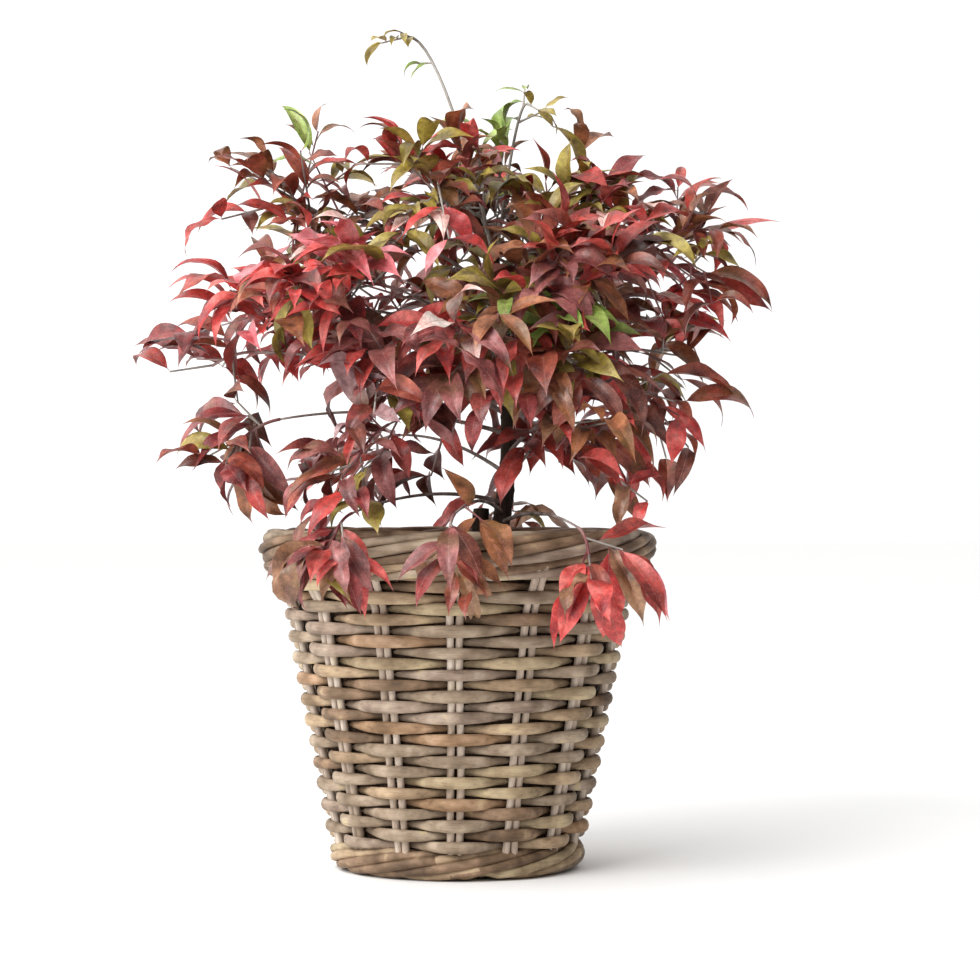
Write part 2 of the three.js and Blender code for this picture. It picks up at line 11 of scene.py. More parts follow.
import bpy
import numpy as np
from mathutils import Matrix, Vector


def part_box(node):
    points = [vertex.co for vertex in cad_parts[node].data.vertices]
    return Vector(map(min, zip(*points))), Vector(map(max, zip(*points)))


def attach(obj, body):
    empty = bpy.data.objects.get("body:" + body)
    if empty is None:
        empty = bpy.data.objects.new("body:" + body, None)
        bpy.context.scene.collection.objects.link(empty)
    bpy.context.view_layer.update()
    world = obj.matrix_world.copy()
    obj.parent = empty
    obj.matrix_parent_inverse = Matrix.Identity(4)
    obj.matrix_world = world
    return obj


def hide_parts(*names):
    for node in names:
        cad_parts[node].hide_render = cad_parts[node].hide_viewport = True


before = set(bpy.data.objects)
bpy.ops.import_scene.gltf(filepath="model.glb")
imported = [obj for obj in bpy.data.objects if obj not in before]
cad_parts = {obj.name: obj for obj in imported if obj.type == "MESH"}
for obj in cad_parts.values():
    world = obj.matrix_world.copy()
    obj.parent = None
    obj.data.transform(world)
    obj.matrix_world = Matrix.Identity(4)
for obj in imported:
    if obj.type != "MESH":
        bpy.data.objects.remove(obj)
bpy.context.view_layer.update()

MM = 0.001
UP = np.array([0.0, 0.0, 1.0])
TURN = 2 * math.pi

# ---------------- driving dimensions, from the part

GAP = 0.35
SOIL_TOP = 205
RIM = {"radius": 127.5, "halfWidth": 13.5}
BASKET_HEIGHT = 236
WALL_BOTTOM = 19.85
WALL_TOP = 202.65
WALL_RADIUS_LOW = 83
WALL_RADIUS_HIGH = 114.5
FLARE_START = 184
FLARE_RADIUS = 126
WEAVE_ROWS = 25
STAKE_PAIRS = 14

TRUNK = {"foot": [24, 2], "bend": [47, -2, 300], "tip": [26, 5, 428], "radius": 7.2, "tipRadius": 3,
         "flareRadius": 12.5, "flareHeight": 26}
STUB = {"foot": [15, -3], "tip": [17, -6, 250], "radius": 5.2, "footShare": 1.3}

BOUGH = {"radius": 2.1, "tipRadius": 1.5, "arch": 0.1, "entryRise": 0.6}
STEM = {"shareOfReach": 0.5, "radius": 1.4, "tipRadius": 1.25, "firstTwigAt": 0.42, "lastTwigAt": 0.97}
TRUNK_STEM_BEND = {"outward": 0.65, "upward": 1.1}
TWIG = {"radius": 1.1, "tipRadius": 0.9, "droop": 0.22, "shareOfReach": [0.3, 0.62]}
TWIG_TURN = [-60, 60]
TWIG_OPENING = {"atFoot": 100, "atTip": 30, "vary": [-20, 20]}
GOLDEN_ANGLE = 137.508

LEAF = {"width": 0.4, "widestAt": 0.42, "thickness": 0.024, "arch": 0.09, "edgeDrop": 0.03}
LEAF_LENGTH = [0.75, 1.25]
LEAF_SPREAD = {"side": [43, 73], "end": [-10, 10]}
LEAF_HANG = [-0.1, 1.1]
LEAF_TURN = [-50, 50]
LEAF_FACING = {"outward": 0.4, "light": [-0.25, -0.75, 0.3], "roll": [-0.8, 0.8]}
LEAF_PAIRS_AT = [0.78, 0.3]
SIDE_LEAF = 0.9
SUNK = {"side": 0.3, "end": 1.5}

SPACE_MARGIN = 0.4
RIM_CLEARANCE = 3
CLEARANCE = 0.5
TRIES = 24
CROWN_HEART = [20, 0, 330]
SEED = 20261

# Openings right through the crown and bays in its outline, seen from the front: middle x and z, half width,
# half height
SKY_GAPS = np.array([
    (-101, 316, 29, 28), (66, 262, 32, 17), (131, 352, 9, 9), (154, 349, 6, 8),
    (-162, 319, 8, 7), (-134, 346, 7, 6), (-128, 435, 11, 6), (183, 451, 8, 7),
    (-71, 505, 8, 5), (-196, 464, 30, 24), (-196, 262, 48, 16), (208, 337, 32, 15),
    (212, 270, 50, 20), (226, 397, 24, 10), (-214, 296, 30, 14), (-186, 333, 28, 13),
    (173, 306, 13, 17), (186, 361, 20, 6),
])

# name, heart, reach, height where the bough leaves the trunk, has a bough, leaf length, hang, tint, how many
# twigs the source tries to grow, how many finer ones are tried among them
MASSES = [
    ("sprig_left", [-38, 0, 579], 34, 424, False, 22, 1.2, "young", 4, 0),
    ("sprig_right", [50, -4, 532], 42, 421, False, 26, 1.0, "young", 4, 0),
    ("top_front", [-14, -48, 462], 90, 416, False, 46, 0.3, "olive", 7, 14),
    ("top_back", [12, 58, 462], 92, 411, False, 50, 0.3, "copper", 6, 15),
    ("top_left", [-106, -14, 456], 92, 396, True, 48, 0.4, "burgundy", 7, 14),
    ("top_right", [88, -14, 452], 92, 402, True, 48, 0.35, "burgundy", 7, 14),
    ("upper_right", [148, -8, 430], 90, 372, True, 52, 0.5, "burgundy", 7, 12),
    ("upper_left", [-134, -20, 386], 86, 358, True, 62, 0.4, "scarlet", 7, 8),
    ("upper_front_left", [-70, -88, 402], 90, 344, True, 64, 0.5, "scarlet", 7, 12),
    ("upper_front_right", [76, -90, 404], 90, 387, True, 59, 0.5, "crimson", 7, 16),
    ("middle_front", [14, -116, 362], 84, 351, True, 62, 0.7, "crimson", 6, 14),
    ("middle_front_left", [-52, -106, 334], 72, 334, True, 62, 0.8, "plum", 5, 8),
    ("middle_front_right", [88, -100, 346], 74, 319, True, 60, 0.7, "crimson", 5, 7),
    ("upper_back_left", [-84, 84, 398], 98, 365, True, 61, 0.5, "scarlet", 6, 11),
    ("upper_back", [8, 112, 386], 98, 351, True, 64, 0.5, "burgundy", 6, 14),
    ("upper_back_right", [98, 80, 400], 98, 330, True, 61, 0.5, "crimson", 6, 14),
    ("middle_left", [-172, 6, 350], 64, 316, True, 62, 0.8, "plum", 6, 3),
    ("middle_right", [138, 40, 362], 80, 309, True, 62, 0.6, "burgundy", 6, 4),
    ("lower_left", [-150, -46, 294], 70, 302, True, 56, 0.9, "crimson", 6, 3),
    ("lower_right", [136, -52, 318], 74, 337, True, 62, 0.9, "crimson", 6, 2),
    ("lower_front_left", [-66, -100, 282], 78, 323, True, 62, 0.9, "crimson", 6, 4),
    ("lower_front_right", [84, -98, 294], 74, 288, True, 62, 0.9, "crimson", 5, 3),
    ("lower_back_left", [-72, 98, 290], 86, 274, True, 64, 0.7, "burgundy", 5, 5),
    ("lower_back_right", [78, 100, 292], 88, 260, True, 64, 0.7, "plum", 5, 5),
    ("hanging_left", [-80, -142, 226], 60, 254, True, 57, 1.5, "plum", 4, 3),
    ("hanging_front", [-4, -166, 228], 54, 247, True, 57, 1.5, "burgundy", 3, 2),
    ("hanging_right", [88, -146, 212], 66, 240, True, 72, 1.9, "scarlet", 3, 3),
    ("hanging_back", [30, 172, 226], 62, 233, True, 64, 1.4, "crimson", 3, 3),
]
MASS_FIELDS = ("name", "heart", "reach", "from", "bough", "leaf", "hang", "tint", "twigs", "finer")
MASSES = [dict(zip(MASS_FIELDS, row)) for row in MASSES]

# ---------------- small tools


def vec(*numbers):
    return np.array(numbers, float)


def unit(v):
    return v / np.linalg.norm(v)


def lerp(a, b, t):
    return a + (b - a) * t


def drawn(random, bounds):
    return lerp(bounds[0], bounds[1], random())


def random_stream(*keys):
    """A repeatable stream of numbers from 0 to 1 for the thing that the keys number."""
    mask = 0xFFFFFFFF
    state = SEED
    for key in keys:
        state = ((state ^ (key + 1)) * 0x9E3779B1) & mask

    def draw():
        nonlocal state
        state = (state + 0x6D2B79F5) & mask
        mixed = ((state ^ (state >> 15)) * (state | 1)) & mask
        mixed ^= (mixed + (((mixed ^ (mixed >> 7)) * (mixed | 61)) & mask)) & mask
        return ((mixed ^ (mixed >> 14)) & mask) / 4294967296

    return draw


def across_from(direction, wish):
    """A unit vector at right angles to the one given, and as near as can be to the wish."""
    across = wish - direction * wish.dot(direction)
    if across.dot(across) > 1e-8:
        return unit(across)
    return across_from(direction, vec(1, 0, 0))


# ---------------- limbs


class Limb:
    """A curve with a radius at each share t of its length."""

    TANGENT_STEP = 0.0001

    def __init__(self, start, bend, end, from_radius, to_radius):
        self.ends = (np.array(start, float), np.array(bend, float), np.array(end, float))
        self.radii = (from_radius, to_radius)

    def at(self, t):
        start, bend, end = self.ends
        return (1 - t) * (1 - t) * start + 2 * (1 - t) * t * bend + t * t * end

    def along(self, t):
        low, high = max(t - self.TANGENT_STEP, 0), min(t + self.TANGENT_STEP, 1)
        return unit(self.at(high) - self.at(low))

    def radius_at(self, t):
        return lerp(*self.radii, t)

    def points(self, shares):
        return self.at(np.asarray(shares, float)[:, None])


class Trunk(Limb):
    def __init__(self):
        foot = [*TRUNK["foot"], SOIL_TOP + GAP]
        super().__init__(foot, TRUNK["bend"], TRUNK["tip"], TRUNK["radius"], TRUNK["tipRadius"])

    def radius_at(self, t):
        height = TRUNK["tip"][2] - SOIL_TOP
        flare = np.maximum(0, 1 - (t * height) / TRUNK["flareHeight"])
        return lerp(*self.radii, t) + (TRUNK["flareRadius"] - TRUNK["radius"]) * flare * flare


def stub_limb():
    x, y = STUB["foot"]
    middle = [x, y, (SOIL_TOP + STUB["tip"][2]) / 2]
    foot_radius = STUB["radius"] * STUB["footShare"]
    return Limb([x, y, SOIL_TOP + GAP], middle, STUB["tip"], foot_radius, STUB["radius"])


def share_at_height(limb, z):
    low, high = 0, 1
    for _ in range(30):
        middle = (low + high) / 2
        if limb.at(middle)[2] < z:
            low = middle
        else:
            high = middle
    return low


def outward_of(mass):
    return unit(vec(*mass["heart"]) - vec(*CROWN_HEART))


def bough_limb(mass, trunk):
    start = trunk.at(share_at_height(trunk, mass["from"]))
    heart = vec(*mass["heart"])
    to_heart = heart - start
    entry = unit(-unit(to_heart) + UP * mass["hang"] * BOUGH["entryRise"])
    end = heart + entry * mass["reach"] * STEM["shareOfReach"]
    bend = lerp(start, end, 0.5) + UP * BOUGH["arch"] * np.linalg.norm(to_heart)
    return Limb(start, bend, end, BOUGH["radius"], BOUGH["tipRadius"])


def stem_limb(mass, bough, trunk):
    heart = vec(*mass["heart"])
    if bough:
        start = bough.at(1) + bough.along(1) * GAP
        bend = start + bough.along(1) * np.linalg.norm(heart - start) / 2
        return Limb(start, bend, heart, STEM["radius"], STEM["tipRadius"])
    start = trunk.at(share_at_height(trunk, mass["from"]))
    bend = lerp(start, heart, TRUNK_STEM_BEND["outward"])
    bend[2] = lerp(start[2], heart[2], TRUNK_STEM_BEND["upward"])
    return Limb(start, bend, heart, STEM["radius"], STEM["tipRadius"])


# ---------------- room between pieces


class Piece:
    """A convex piece: corner points with a radius round them, its line, and directions that may part it."""

    def __init__(self, points, radius, line, faces):
        self.points = np.array(points)
        self.radius = radius
        self.line = line
        self.faces = np.array(faces).reshape(-1, 3)
        self.middle = self.points.mean(axis=0)
        self.bound = np.linalg.norm(self.points - self.middle, axis=1).max() + radius


def limb_pieces(limb, steps):
    pieces = []
    for i in range(steps):
        a, b = limb.at(i / steps), limb.at((i + 1) / steps)
        pieces.append(Piece([a, b], float(limb.radius_at(i / steps)), unit(b - a), []))
    return pieces


def apart(a, b, clearance):
    """True when some direction shows two pieces apart by the clearance."""
    between = b.middle - a.middle
    levels = [between - line * between.dot(line) for line in (a.line, b.line)]
    axes = np.vstack([between, a.faces, b.faces, *levels, np.cross(a.line, b.line)])
    lengths = np.linalg.norm(axes, axis=1)
    axes = axes[lengths > 3.2e-5] / lengths[lengths > 3.2e-5, None]
    places_a, places_b = axes @ a.points.T, axes @ b.points.T
    room_after = places_b.min(axis=1) - b.radius - places_a.max(axis=1) - a.radius
    room_before = places_a.min(axis=1) - a.radius - places_b.max(axis=1) - b.radius
    return bool(np.any(room_after > clearance) or np.any(room_before > clearance))


class Crowd:
    """Pieces that are there already, with a quick way to leave out those that are far off."""

    def __init__(self, pieces=()):
        self.pieces = []
        self.middles = np.zeros((0, 3))
        self.bounds = np.zeros(0)
        self.add(pieces)

    def add(self, pieces):
        if not pieces:
            return
        self.pieces.extend(pieces)
        self.middles = np.vstack([self.middles, [p.middle for p in pieces]])
        self.bounds = np.append(self.bounds, [p.bound for p in pieces])

    def has_room(self, piece, clearance):
        far = np.linalg.norm(self.middles - piece.middle, axis=1) > self.bounds + piece.bound + clearance
        return all(apart(piece, self.pieces[i], clearance) for i in np.flatnonzero(~far))


def own_space(mass):
    """A test of whether points are within the mass's reach and nearer to its heart than to any other's."""
    heart = vec(*mass["heart"])
    away = np.array([vec(*other["heart"]) - heart for other in MASSES if other is not mass])
    lengths = np.linalg.norm(away, axis=1)
    borders = lengths / 2 - SPACE_MARGIN
    away /= lengths[:, None]

    def holds(points):
        places = points - heart
        if np.any(np.linalg.norm(places, axis=1) > mass["reach"]):
            return False
        return bool(np.all(places @ away.T < borders))

    return holds


def clear_of_sky(points):
    places = (points[:, None, ::2] - SKY_GAPS[:, :2]) / SKY_GAPS[:, 2:]
    return bool(np.all(np.linalg.norm(places, axis=2) > 1))


def clear_of_basket(points):
    outside = RIM["radius"] + RIM["halfWidth"] + RIM_CLEARANCE
    above = np.all(points[:, 2] > BASKET_HEIGHT + RIM_CLEARANCE)
    return bool(above or np.all(np.hypot(points[:, 0], points[:, 1]) > outside))


# ---------------- leaves, twigs and masses


class Leaf:
    """Where a leaf is: from its root to its tip, facing its normal, at a share of its twig's length."""

    def __init__(self, root, direction, normal, length, at):
        self.root, self.direction, self.normal, self.length, self.at = root, direction, normal, length, at

    def tip(self):
        return self.root + self.direction * self.length

    def piece(self):
        side = np.cross(self.direction, self.normal)
        middle = self.root + self.direction * self.length * LEAF["widestAt"]
        middle = middle + self.normal * self.length * LEAF["arch"]
        drop = self.normal * self.length * LEAF["edgeDrop"]
        left, right = [middle + side * sign * self.length * LEAF["width"] / 2 - drop for sign in (-1, 1)]
        top, under = [middle + self.normal * sign * self.length * LEAF["thickness"] / 2 for sign in (1, -1)]
        root, tip = self.root, self.tip()
        line, across = unit(tip - root), unit(right - left)
        normal = np.cross(line, across)

        def face(a, b, c):
            return np.cross(b - a, c - a)

        faces = [normal, across, face(root, left, top), face(root, right, top), face(tip, left, under),
                 face(tip, right, under)]
        faces += [np.cross(edge - end, normal) for end in (root, tip) for edge in (right, left)]
        return Piece([root, tip, left, right, top, under], 0, line, faces)


LEAF_PLACES = [(1, 0, 1)] + [(at, side, SIDE_LEAF) for at in LEAF_PAIRS_AT for side in (-1, 1)]


def try_leaf(mass, twig, place, random, size):
    at, side, share = place
    along = twig.along(at)
    level = across_from(along, np.cross(along, UP))
    turn = math.radians(drawn(random, LEAF_TURN))
    sideways = (level * math.cos(turn) + np.cross(along, level) * math.sin(turn)) * (side or 1)
    spread = math.radians(drawn(random, LEAF_SPREAD["side" if side else "end"]))
    direction = along * math.cos(spread) + sideways * math.sin(spread)
    direction = unit(direction - UP * mass["hang"] * drawn(random, LEAF_HANG))
    facing = outward_of(mass) * LEAF_FACING["outward"] + vec(*LEAF_FACING["light"]) + UP
    facing = facing + sideways * drawn(random, LEAF_FACING["roll"])
    length = mass["leaf"] * share * drawn(random, LEAF_LENGTH) * size
    root = twig.at(at) - direction * SUNK["side"] if side else twig.at(1) - along * SUNK["end"]
    return Leaf(root, direction, across_from(direction, facing), length, at)


def try_twig(mass, stem, share, index, random, shares_of_reach=TWIG["shareOfReach"]):
    start = stem.at(share)
    onward = stem.along(share)
    turn = math.radians(index * GOLDEN_ANGLE + drawn(random, TWIG_TURN))
    opening = lerp(TWIG_OPENING["atFoot"], TWIG_OPENING["atTip"], share)
    opening = math.radians(opening + drawn(random, TWIG_OPENING["vary"]))
    side = across_from(onward, UP)
    front = np.cross(onward, side)
    direction = onward * math.cos(opening) + side * math.cos(turn) * math.sin(opening)
    direction = direction + front * math.sin(turn) * math.sin(opening)
    length = mass["reach"] * drawn(random, shares_of_reach)
    end = start + direction * length - UP * length * TWIG["droop"] * mass["hang"]
    return Limb(start, lerp(start, end, 0.5), end, TWIG["radius"], TWIG["tipRadius"])


def first_that_fits(make, fits, tries=TRIES):
    """What is made first that fits, or None when the tries run out."""
    for _ in range(tries):
        candidate = make()
        if fits(candidate):
            return candidate
    return None


# The finer twigs: how long they are, how big their leaves are as a share of the source's, the beads that
# stand for a leaf and a limb when room is looked for, how many of a twig's first beads are in its host and
# don't count, how far past their mass's reach others matter, how often one is tried, the number of their
# first stream, how many grow for each one in the table, and the fewest leaves that one keeps.
FINER = {"shareOfReach": [0.2, 0.66], "leaf_size": [0.62, 1.0], "bead": 0.055,
         "bead_places": [0.25, 0.5, 0.78], "bead_sizes": [0.9, 1.0, 0.6], "limb_bead_step": 5.0,
         "in_host": 2, "near": 5, "tries": 12, "first_stream": 100, "share": 1.3, "fewest": 3}
# Where finer twigs leave the stem, a first twig and the bough, as shares of its length, and how often each
# of these stands in the draw.
HOSTS = {"stem": (0.08, 1.0, 3), "twig": (0.3, 0.9, 1), "bough": (0.3, 0.95, 2)}


class Beads:
    """Round beads strung along what has grown, to see quickly whether there is room for more."""

    def __init__(self, places=np.zeros((0, 3)), sizes=np.zeros(0)):
        self.places, self.sizes = places, sizes

    def add(self, places, sizes):
        self.places = np.vstack([self.places, places])
        self.sizes = np.append(self.sizes, np.broadcast_to(sizes, len(places)))

    def near(self, middle, distance):
        close = np.linalg.norm(self.places - middle, axis=1) < distance
        return Beads(self.places[close], self.sizes[close])

    def has_room(self, places, sizes):
        gaps = np.linalg.norm(self.places[None] - places[:, None], axis=2)
        return bool(np.all(gaps > self.sizes[None] + np.asarray(sizes)[:, None]))


def limb_beads(limb, skipped=0):
    start, _, end = limb.ends
    steps = max(4, int(np.linalg.norm(end - start) / FINER["limb_bead_step"]))
    shares = np.linspace(0, 1, steps)[skipped:]
    return limb.points(shares), limb.radius_at(shares)


def leaf_beads(leaf):
    shares = np.array(FINER["bead_places"])[:, None]
    places = leaf.root + leaf.direction * leaf.length * shares
    places = places + leaf.normal * leaf.length * 4 * LEAF["arch"] * shares * (1 - shares)
    return places, leaf.length * FINER["bead"] * np.array(FINER["bead_sizes"])


def grow_leaves(mass, twig, random, size, fits, tries, taken):
    """The leaves of one spray. Each goes to taken as soon as it has its place."""
    leaves = []
    for place in LEAF_PLACES:
        leaf = first_that_fits(lambda: try_leaf(mass, twig, place, random, size), fits, tries)
        if leaf is not None:
            leaves.append(leaf)
            taken(leaf)
    return leaves


def grow_sources_own(mass, number, stem, limbs, holds):
    """The sprays that the source's solid has."""
    twig_crowd, leaf_crowd = Crowd(limb_pieces(stem, 3)), Crowd()
    sprays = []

    def fits(pieces, crowds):
        points = np.vstack([piece.points for piece in pieces])
        return (holds(points) and clear_of_basket(points) and clear_of_sky(points)
                and all(crowd.has_room(piece, CLEARANCE) for piece in pieces for crowd in crowds))

    def twig_fits(twig):
        return fits(limb_pieces(twig, 1), (limbs, leaf_crowd))

    def leaf_fits(leaf):
        return fits([leaf.piece()], (limbs, twig_crowd, leaf_crowd))

    for index in range(mass["twigs"]):
        random = random_stream(number, index)
        share = lerp(STEM["firstTwigAt"], STEM["lastTwigAt"], index / (mass["twigs"] - 1))
        twig = first_that_fits(lambda: try_twig(mass, stem, share, index, random), twig_fits)
        if twig is None:
            continue
        leaves = grow_leaves(mass, twig, random, 1, leaf_fits, TRIES,
                             lambda leaf: leaf_crowd.add([leaf.piece()]))
        if leaves:
            sprays.append({"mass": mass, "twig": twig, "leaves": leaves})
            twig_crowd.add(limb_pieces(twig, 1))
    return sprays


def grow_finer(mass, number, stem, bough, sprays, all_beads):
    """Finer sprays from the stem, the end of the bough and the first twigs, in what room is left."""
    hosts = [(stem, "stem")] + [(spray["twig"], "twig") for spray in sprays]
    hosts += [(bough, "bough")] if bough else []
    hosts = [(host, HOSTS[kind][:2]) for host, kind in hosts for _ in range(HOSTS[kind][2])]
    heart = vec(*mass["heart"])
    beads = all_beads.near(heart, mass["reach"] + FINER["near"])

    def within(points):
        return np.linalg.norm(points - heart, axis=1).max() < mass["reach"]

    def fits(places, sizes):
        return (within(places) and clear_of_basket(places) and clear_of_sky(places)
                and beads.has_room(places, sizes))

    def twig_fits(twig):
        return fits(*limb_beads(twig, FINER["in_host"]))

    def leaf_fits(leaf):
        return fits(*leaf_beads(leaf)) and within(leaf.tip()[None])

    grown = []
    for index in range(round(mass["finer"] * FINER["share"])):
        random = random_stream(number, FINER["first_stream"] + index)
        host, stretch = hosts[int(random() * len(hosts))]
        twig = first_that_fits(
            lambda: try_twig(mass, host, drawn(random, stretch), index, random, FINER["shareOfReach"]),
            twig_fits, FINER["tries"])
        if twig is None:
            continue
        beads_before = (beads.places, beads.sizes)
        size = drawn(random, FINER["leaf_size"])
        leaves = grow_leaves(mass, twig, random, size, leaf_fits, FINER["tries"],
                             lambda leaf: beads.add(*leaf_beads(leaf)))
        if len(leaves) < FINER["fewest"]:
            beads.places, beads.sizes = beads_before
            continue
        grown.append({"mass": mass, "twig": twig, "leaves": leaves})
        beads.add(*limb_beads(twig, FINER["in_host"]))
        all_beads.add(*limb_beads(twig, FINER["in_host"]))
        for leaf in leaves:
            all_beads.add(*leaf_beads(leaf))
    return grown


# ---------------- meshes


class Pile:
    """Many small closed shapes that are joined into one mesh."""

    def __init__(self):
        self.points, self.quads, self.tris, self.count = [], [], [], 0

    def add(self, points, quads, tris=()):
        points = np.asarray(points, float).reshape(-1, 3)
        self.points.append(points)
        self.quads.append(np.asarray(quads, int).reshape(-1, 4) + self.count)
        self.tris.append(np.asarray(tris, int).reshape(-1, 3) + self.count)
        self.count += len(points)

    def add_closed(self, rings, ends):
        """Shapes of one kind: for each of them its rings of corners and the two points that close it."""
        quads, tris = closed_faces(*rings.shape[1:3])
        points = np.concatenate([rings.reshape(len(rings), -1, 3), ends], axis=1)
        first = (np.arange(len(points)) * points.shape[1])[:, None, None]
        self.add(points, quads + first, tris + first)

    def mesh(self, name, material, smooth_below=60):
        points, quads, tris = [np.vstack(parts) for parts in (self.points, self.quads, self.tris)]
        mesh = bpy.data.meshes.new(name)
        mesh.vertices.add(len(points))
        mesh.vertices.foreach_set("co", (points * MM).astype(np.float32).ravel())
        mesh.loops.add(quads.size + tris.size)
        mesh.loops.foreach_set("vertex_index", np.concatenate([quads.ravel(), tris.ravel()]))
        mesh.polygons.add(len(quads) + len(tris))
        starts = np.concatenate([np.arange(len(quads)) * 4, quads.size + np.arange(len(tris)) * 3])
        mesh.polygons.foreach_set("loop_start", starts)
        mesh.polygons.foreach_set("use_smooth", np.ones(len(starts), bool))
        mesh.update(calc_edges=True)
        mesh.validate()
        mesh.set_sharp_from_angle(angle=math.radians(smooth_below))
        mesh.materials.append(material)
        piece = bpy.data.objects.new(name, mesh)
        bpy.context.scene.collection.objects.link(piece)
        return piece

    def dress(self, nodes, slot, name, material, smooth_below=60):
        """The piece that takes the place of the part's nodes."""
        piece = self.mesh(name, material, smooth_below)
        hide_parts(*nodes)
        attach(piece, "root")


def closed_faces(rings, corners):
    """Quads from each ring of corners to the next, and a fan of triangles round the point at each end."""
    i, j = np.meshgrid(np.arange(rings - 1), np.arange(corners), indexing="ij")
    a = i * corners + j
    b = i * corners + (j + 1) % corners
    quads = np.stack([a, b, b + corners, a + corners], axis=-1).reshape(-1, 4)
    j = np.arange(corners)
    after = (j + 1) % corners
    count = rings * corners
    last = count - corners
    tris = np.vstack([np.stack([np.full(corners, count), after, j], axis=1),
                      np.stack([np.full(corners, count + 1), last + j, last + after], axis=1)])
    return quads, tris


ROD_DOME = 0.15


def add_rod(pile, path, side, front, side_radius, front_radius, sides=8):
    """A closed rod along a path: an oval at each point, with a domed point at each end."""
    turns = (np.arange(sides) / sides * TURN)[:, None]
    wide, thick = [np.broadcast_to(radius, len(path))[:, None, None]
                   for radius in (side_radius, front_radius)]
    rings = path[:, None] + (side[:, None] * np.cos(turns) * wide + front[:, None] * np.sin(turns) * thick)
    ends = [path[0] - (path[1] - path[0]) * ROD_DOME, path[-1] + (path[-1] - path[-2]) * ROD_DOME]
    pile.add_closed(rings[None], [ends])


def frames_along(path):
    """Unit directions square to a path that turn with it as little as can be."""
    tangents = np.gradient(path, axis=0)
    tangents /= np.linalg.norm(tangents, axis=1)[:, None]
    side = across_from(tangents[0], UP)
    sides = []
    for tangent in tangents:
        side = across_from(tangent, side)
        sides.append(side)
    sides = np.array(sides)
    return sides, np.cross(sides, tangents)


def add_tube(pile, path, radii, sides=6):
    side, front = frames_along(path)
    add_rod(pile, path, side, front, radii, radii, sides)


def wave_noise(points, seed, scale, octaves=3):
    """Smooth repeatable values round 0 for points, from a few sines in seeded directions."""
    random = np.random.default_rng(seed)
    total = np.zeros(len(points))
    weight = 1.0
    for _ in range(octaves):
        for _ in range(4):
            direction = random.normal(size=3)
            total += weight * np.sin(points @ direction * scale + random.uniform(0, TURN)) / 4
        scale *= 2.1
        weight *= 0.5
    return total


# ---------------- materials


def linear(hex_colour):
    """The linear colour, with alpha, of a #rrggbb one."""
    channels = [int(hex_colour[i:i + 2], 16) / 255 for i in (1, 3, 5)]
    return [c / 12.92 if c <= 0.04045 else ((c + 0.055) / 1.055) ** 2.4 for c in channels] + [1.0]


class Nodes:
    """A node tree whose nodes are added one by one."""

    def __init__(self, tree):
        self.tree = tree

    def node(self, kind, inputs=None, **settings):
        node = self.tree.nodes.new(kind)
        for key, value in settings.items():
            setattr(node, key, value)
        for key, value in (inputs or {}).items():
            self.put(value, node.inputs[key])
        return node

    def put(self, value, socket):
        if isinstance(value, bpy.types.NodeSocket):
            self.tree.links.new(value, socket)
        else:
            socket.default_value = value

    def math(self, operation, a, b=0.0):
        return self.node("ShaderNodeMath", {0: a, 1: b}, operation=operation).outputs[0]


class Shader(Nodes):
    """A material's nodes."""

    def __init__(self, name, roughness=0.6, specular=0.5):
        self.material = bpy.data.materials.new(name)
        self.material.use_nodes = True
        super().__init__(self.material.node_tree)
        self.surface = self.tree.nodes["Principled BSDF"]
        self.surface.inputs["Roughness"].default_value = roughness
        self.surface.inputs["Specular IOR Level"].default_value = specular

    def place(self):
        return self.node("ShaderNodeTexCoord").outputs["Object"]

    def stretched(self, scales):
        """The object's own coordinates, each stretched by its scale."""
        return self.node("ShaderNodeMapping", {"Vector": self.place(), "Scale": scales}).outputs[0]

    def round_the_axis(self, scales):
        """Angle round the upright axis, distance from it, and height, each by its scale."""
        x, y, z = self.node("ShaderNodeSeparateXYZ", {"Vector": self.place()}).outputs
        angle = self.math("ARCTAN2", y, x)
        square = self.math("ADD", self.math("MULTIPLY", x, x), self.math("MULTIPLY", y, y))
        parts = zip((angle, self.math("SQRT", square), z), scales)
        values = [self.math("MULTIPLY", value, scale) for value, scale in parts]
        return self.node("ShaderNodeCombineXYZ", dict(zip("XYZ", values))).outputs[0]

    def noise(self, vector, scale=1.0, detail=4.0, roughness=0.55):
        inputs = {"Vector": vector, "Scale": scale, "Detail": detail, "Roughness": roughness}
        return self.node("ShaderNodeTexNoise", inputs).outputs["Fac"]

    def ramp(self, value, stops):
        node = self.node("ShaderNodeValToRGB", {"Fac": value})
        elements = node.color_ramp.elements
        while len(elements) < len(stops):
            elements.new(0.5)
        for element, (position, colour) in zip(elements, stops):
            element.position = position
            element.color = linear(colour)
        return node.outputs["Color"]

    def mottle(self, stops, colours, scale, detail, roughness):
        """Colours by an even noise, and the noise."""
        noise = self.noise(self.place(), scale, detail, roughness)
        return self.ramp(noise, list(zip(stops, colours))), noise

    def blend(self, share, a, b, kind="MIX"):
        node = self.node("ShaderNodeMix", data_type="RGBA", blend_type=kind)
        for value, name in ((share, "Factor"), (a, "A"), (b, "B")):
            self.put(value, node.inputs[name])
        return node.outputs["Result"]

    def spread(self, value, low, high):
        """The middle of a noise's values, spread from low to high."""
        inputs = {"Value": value, "To Min": low, "To Max": high, "From Min": 0.25, "From Max": 0.75}
        return self.node("ShaderNodeMapRange", inputs).outputs[0]

    def finish(self, colour, rough=None, bump=None, strength=0.3, distance=0.0005):
        self.put(colour, self.surface.inputs["Base Color"])
        if rough is not None:
            self.put(rough, self.surface.inputs["Roughness"])
        if bump is not None:
            node = self.node("ShaderNodeBump", {"Height": bump, "Strength": strength, "Distance": distance})
            self.put(node.outputs[0], self.surface.inputs["Normal"])
        return self.material


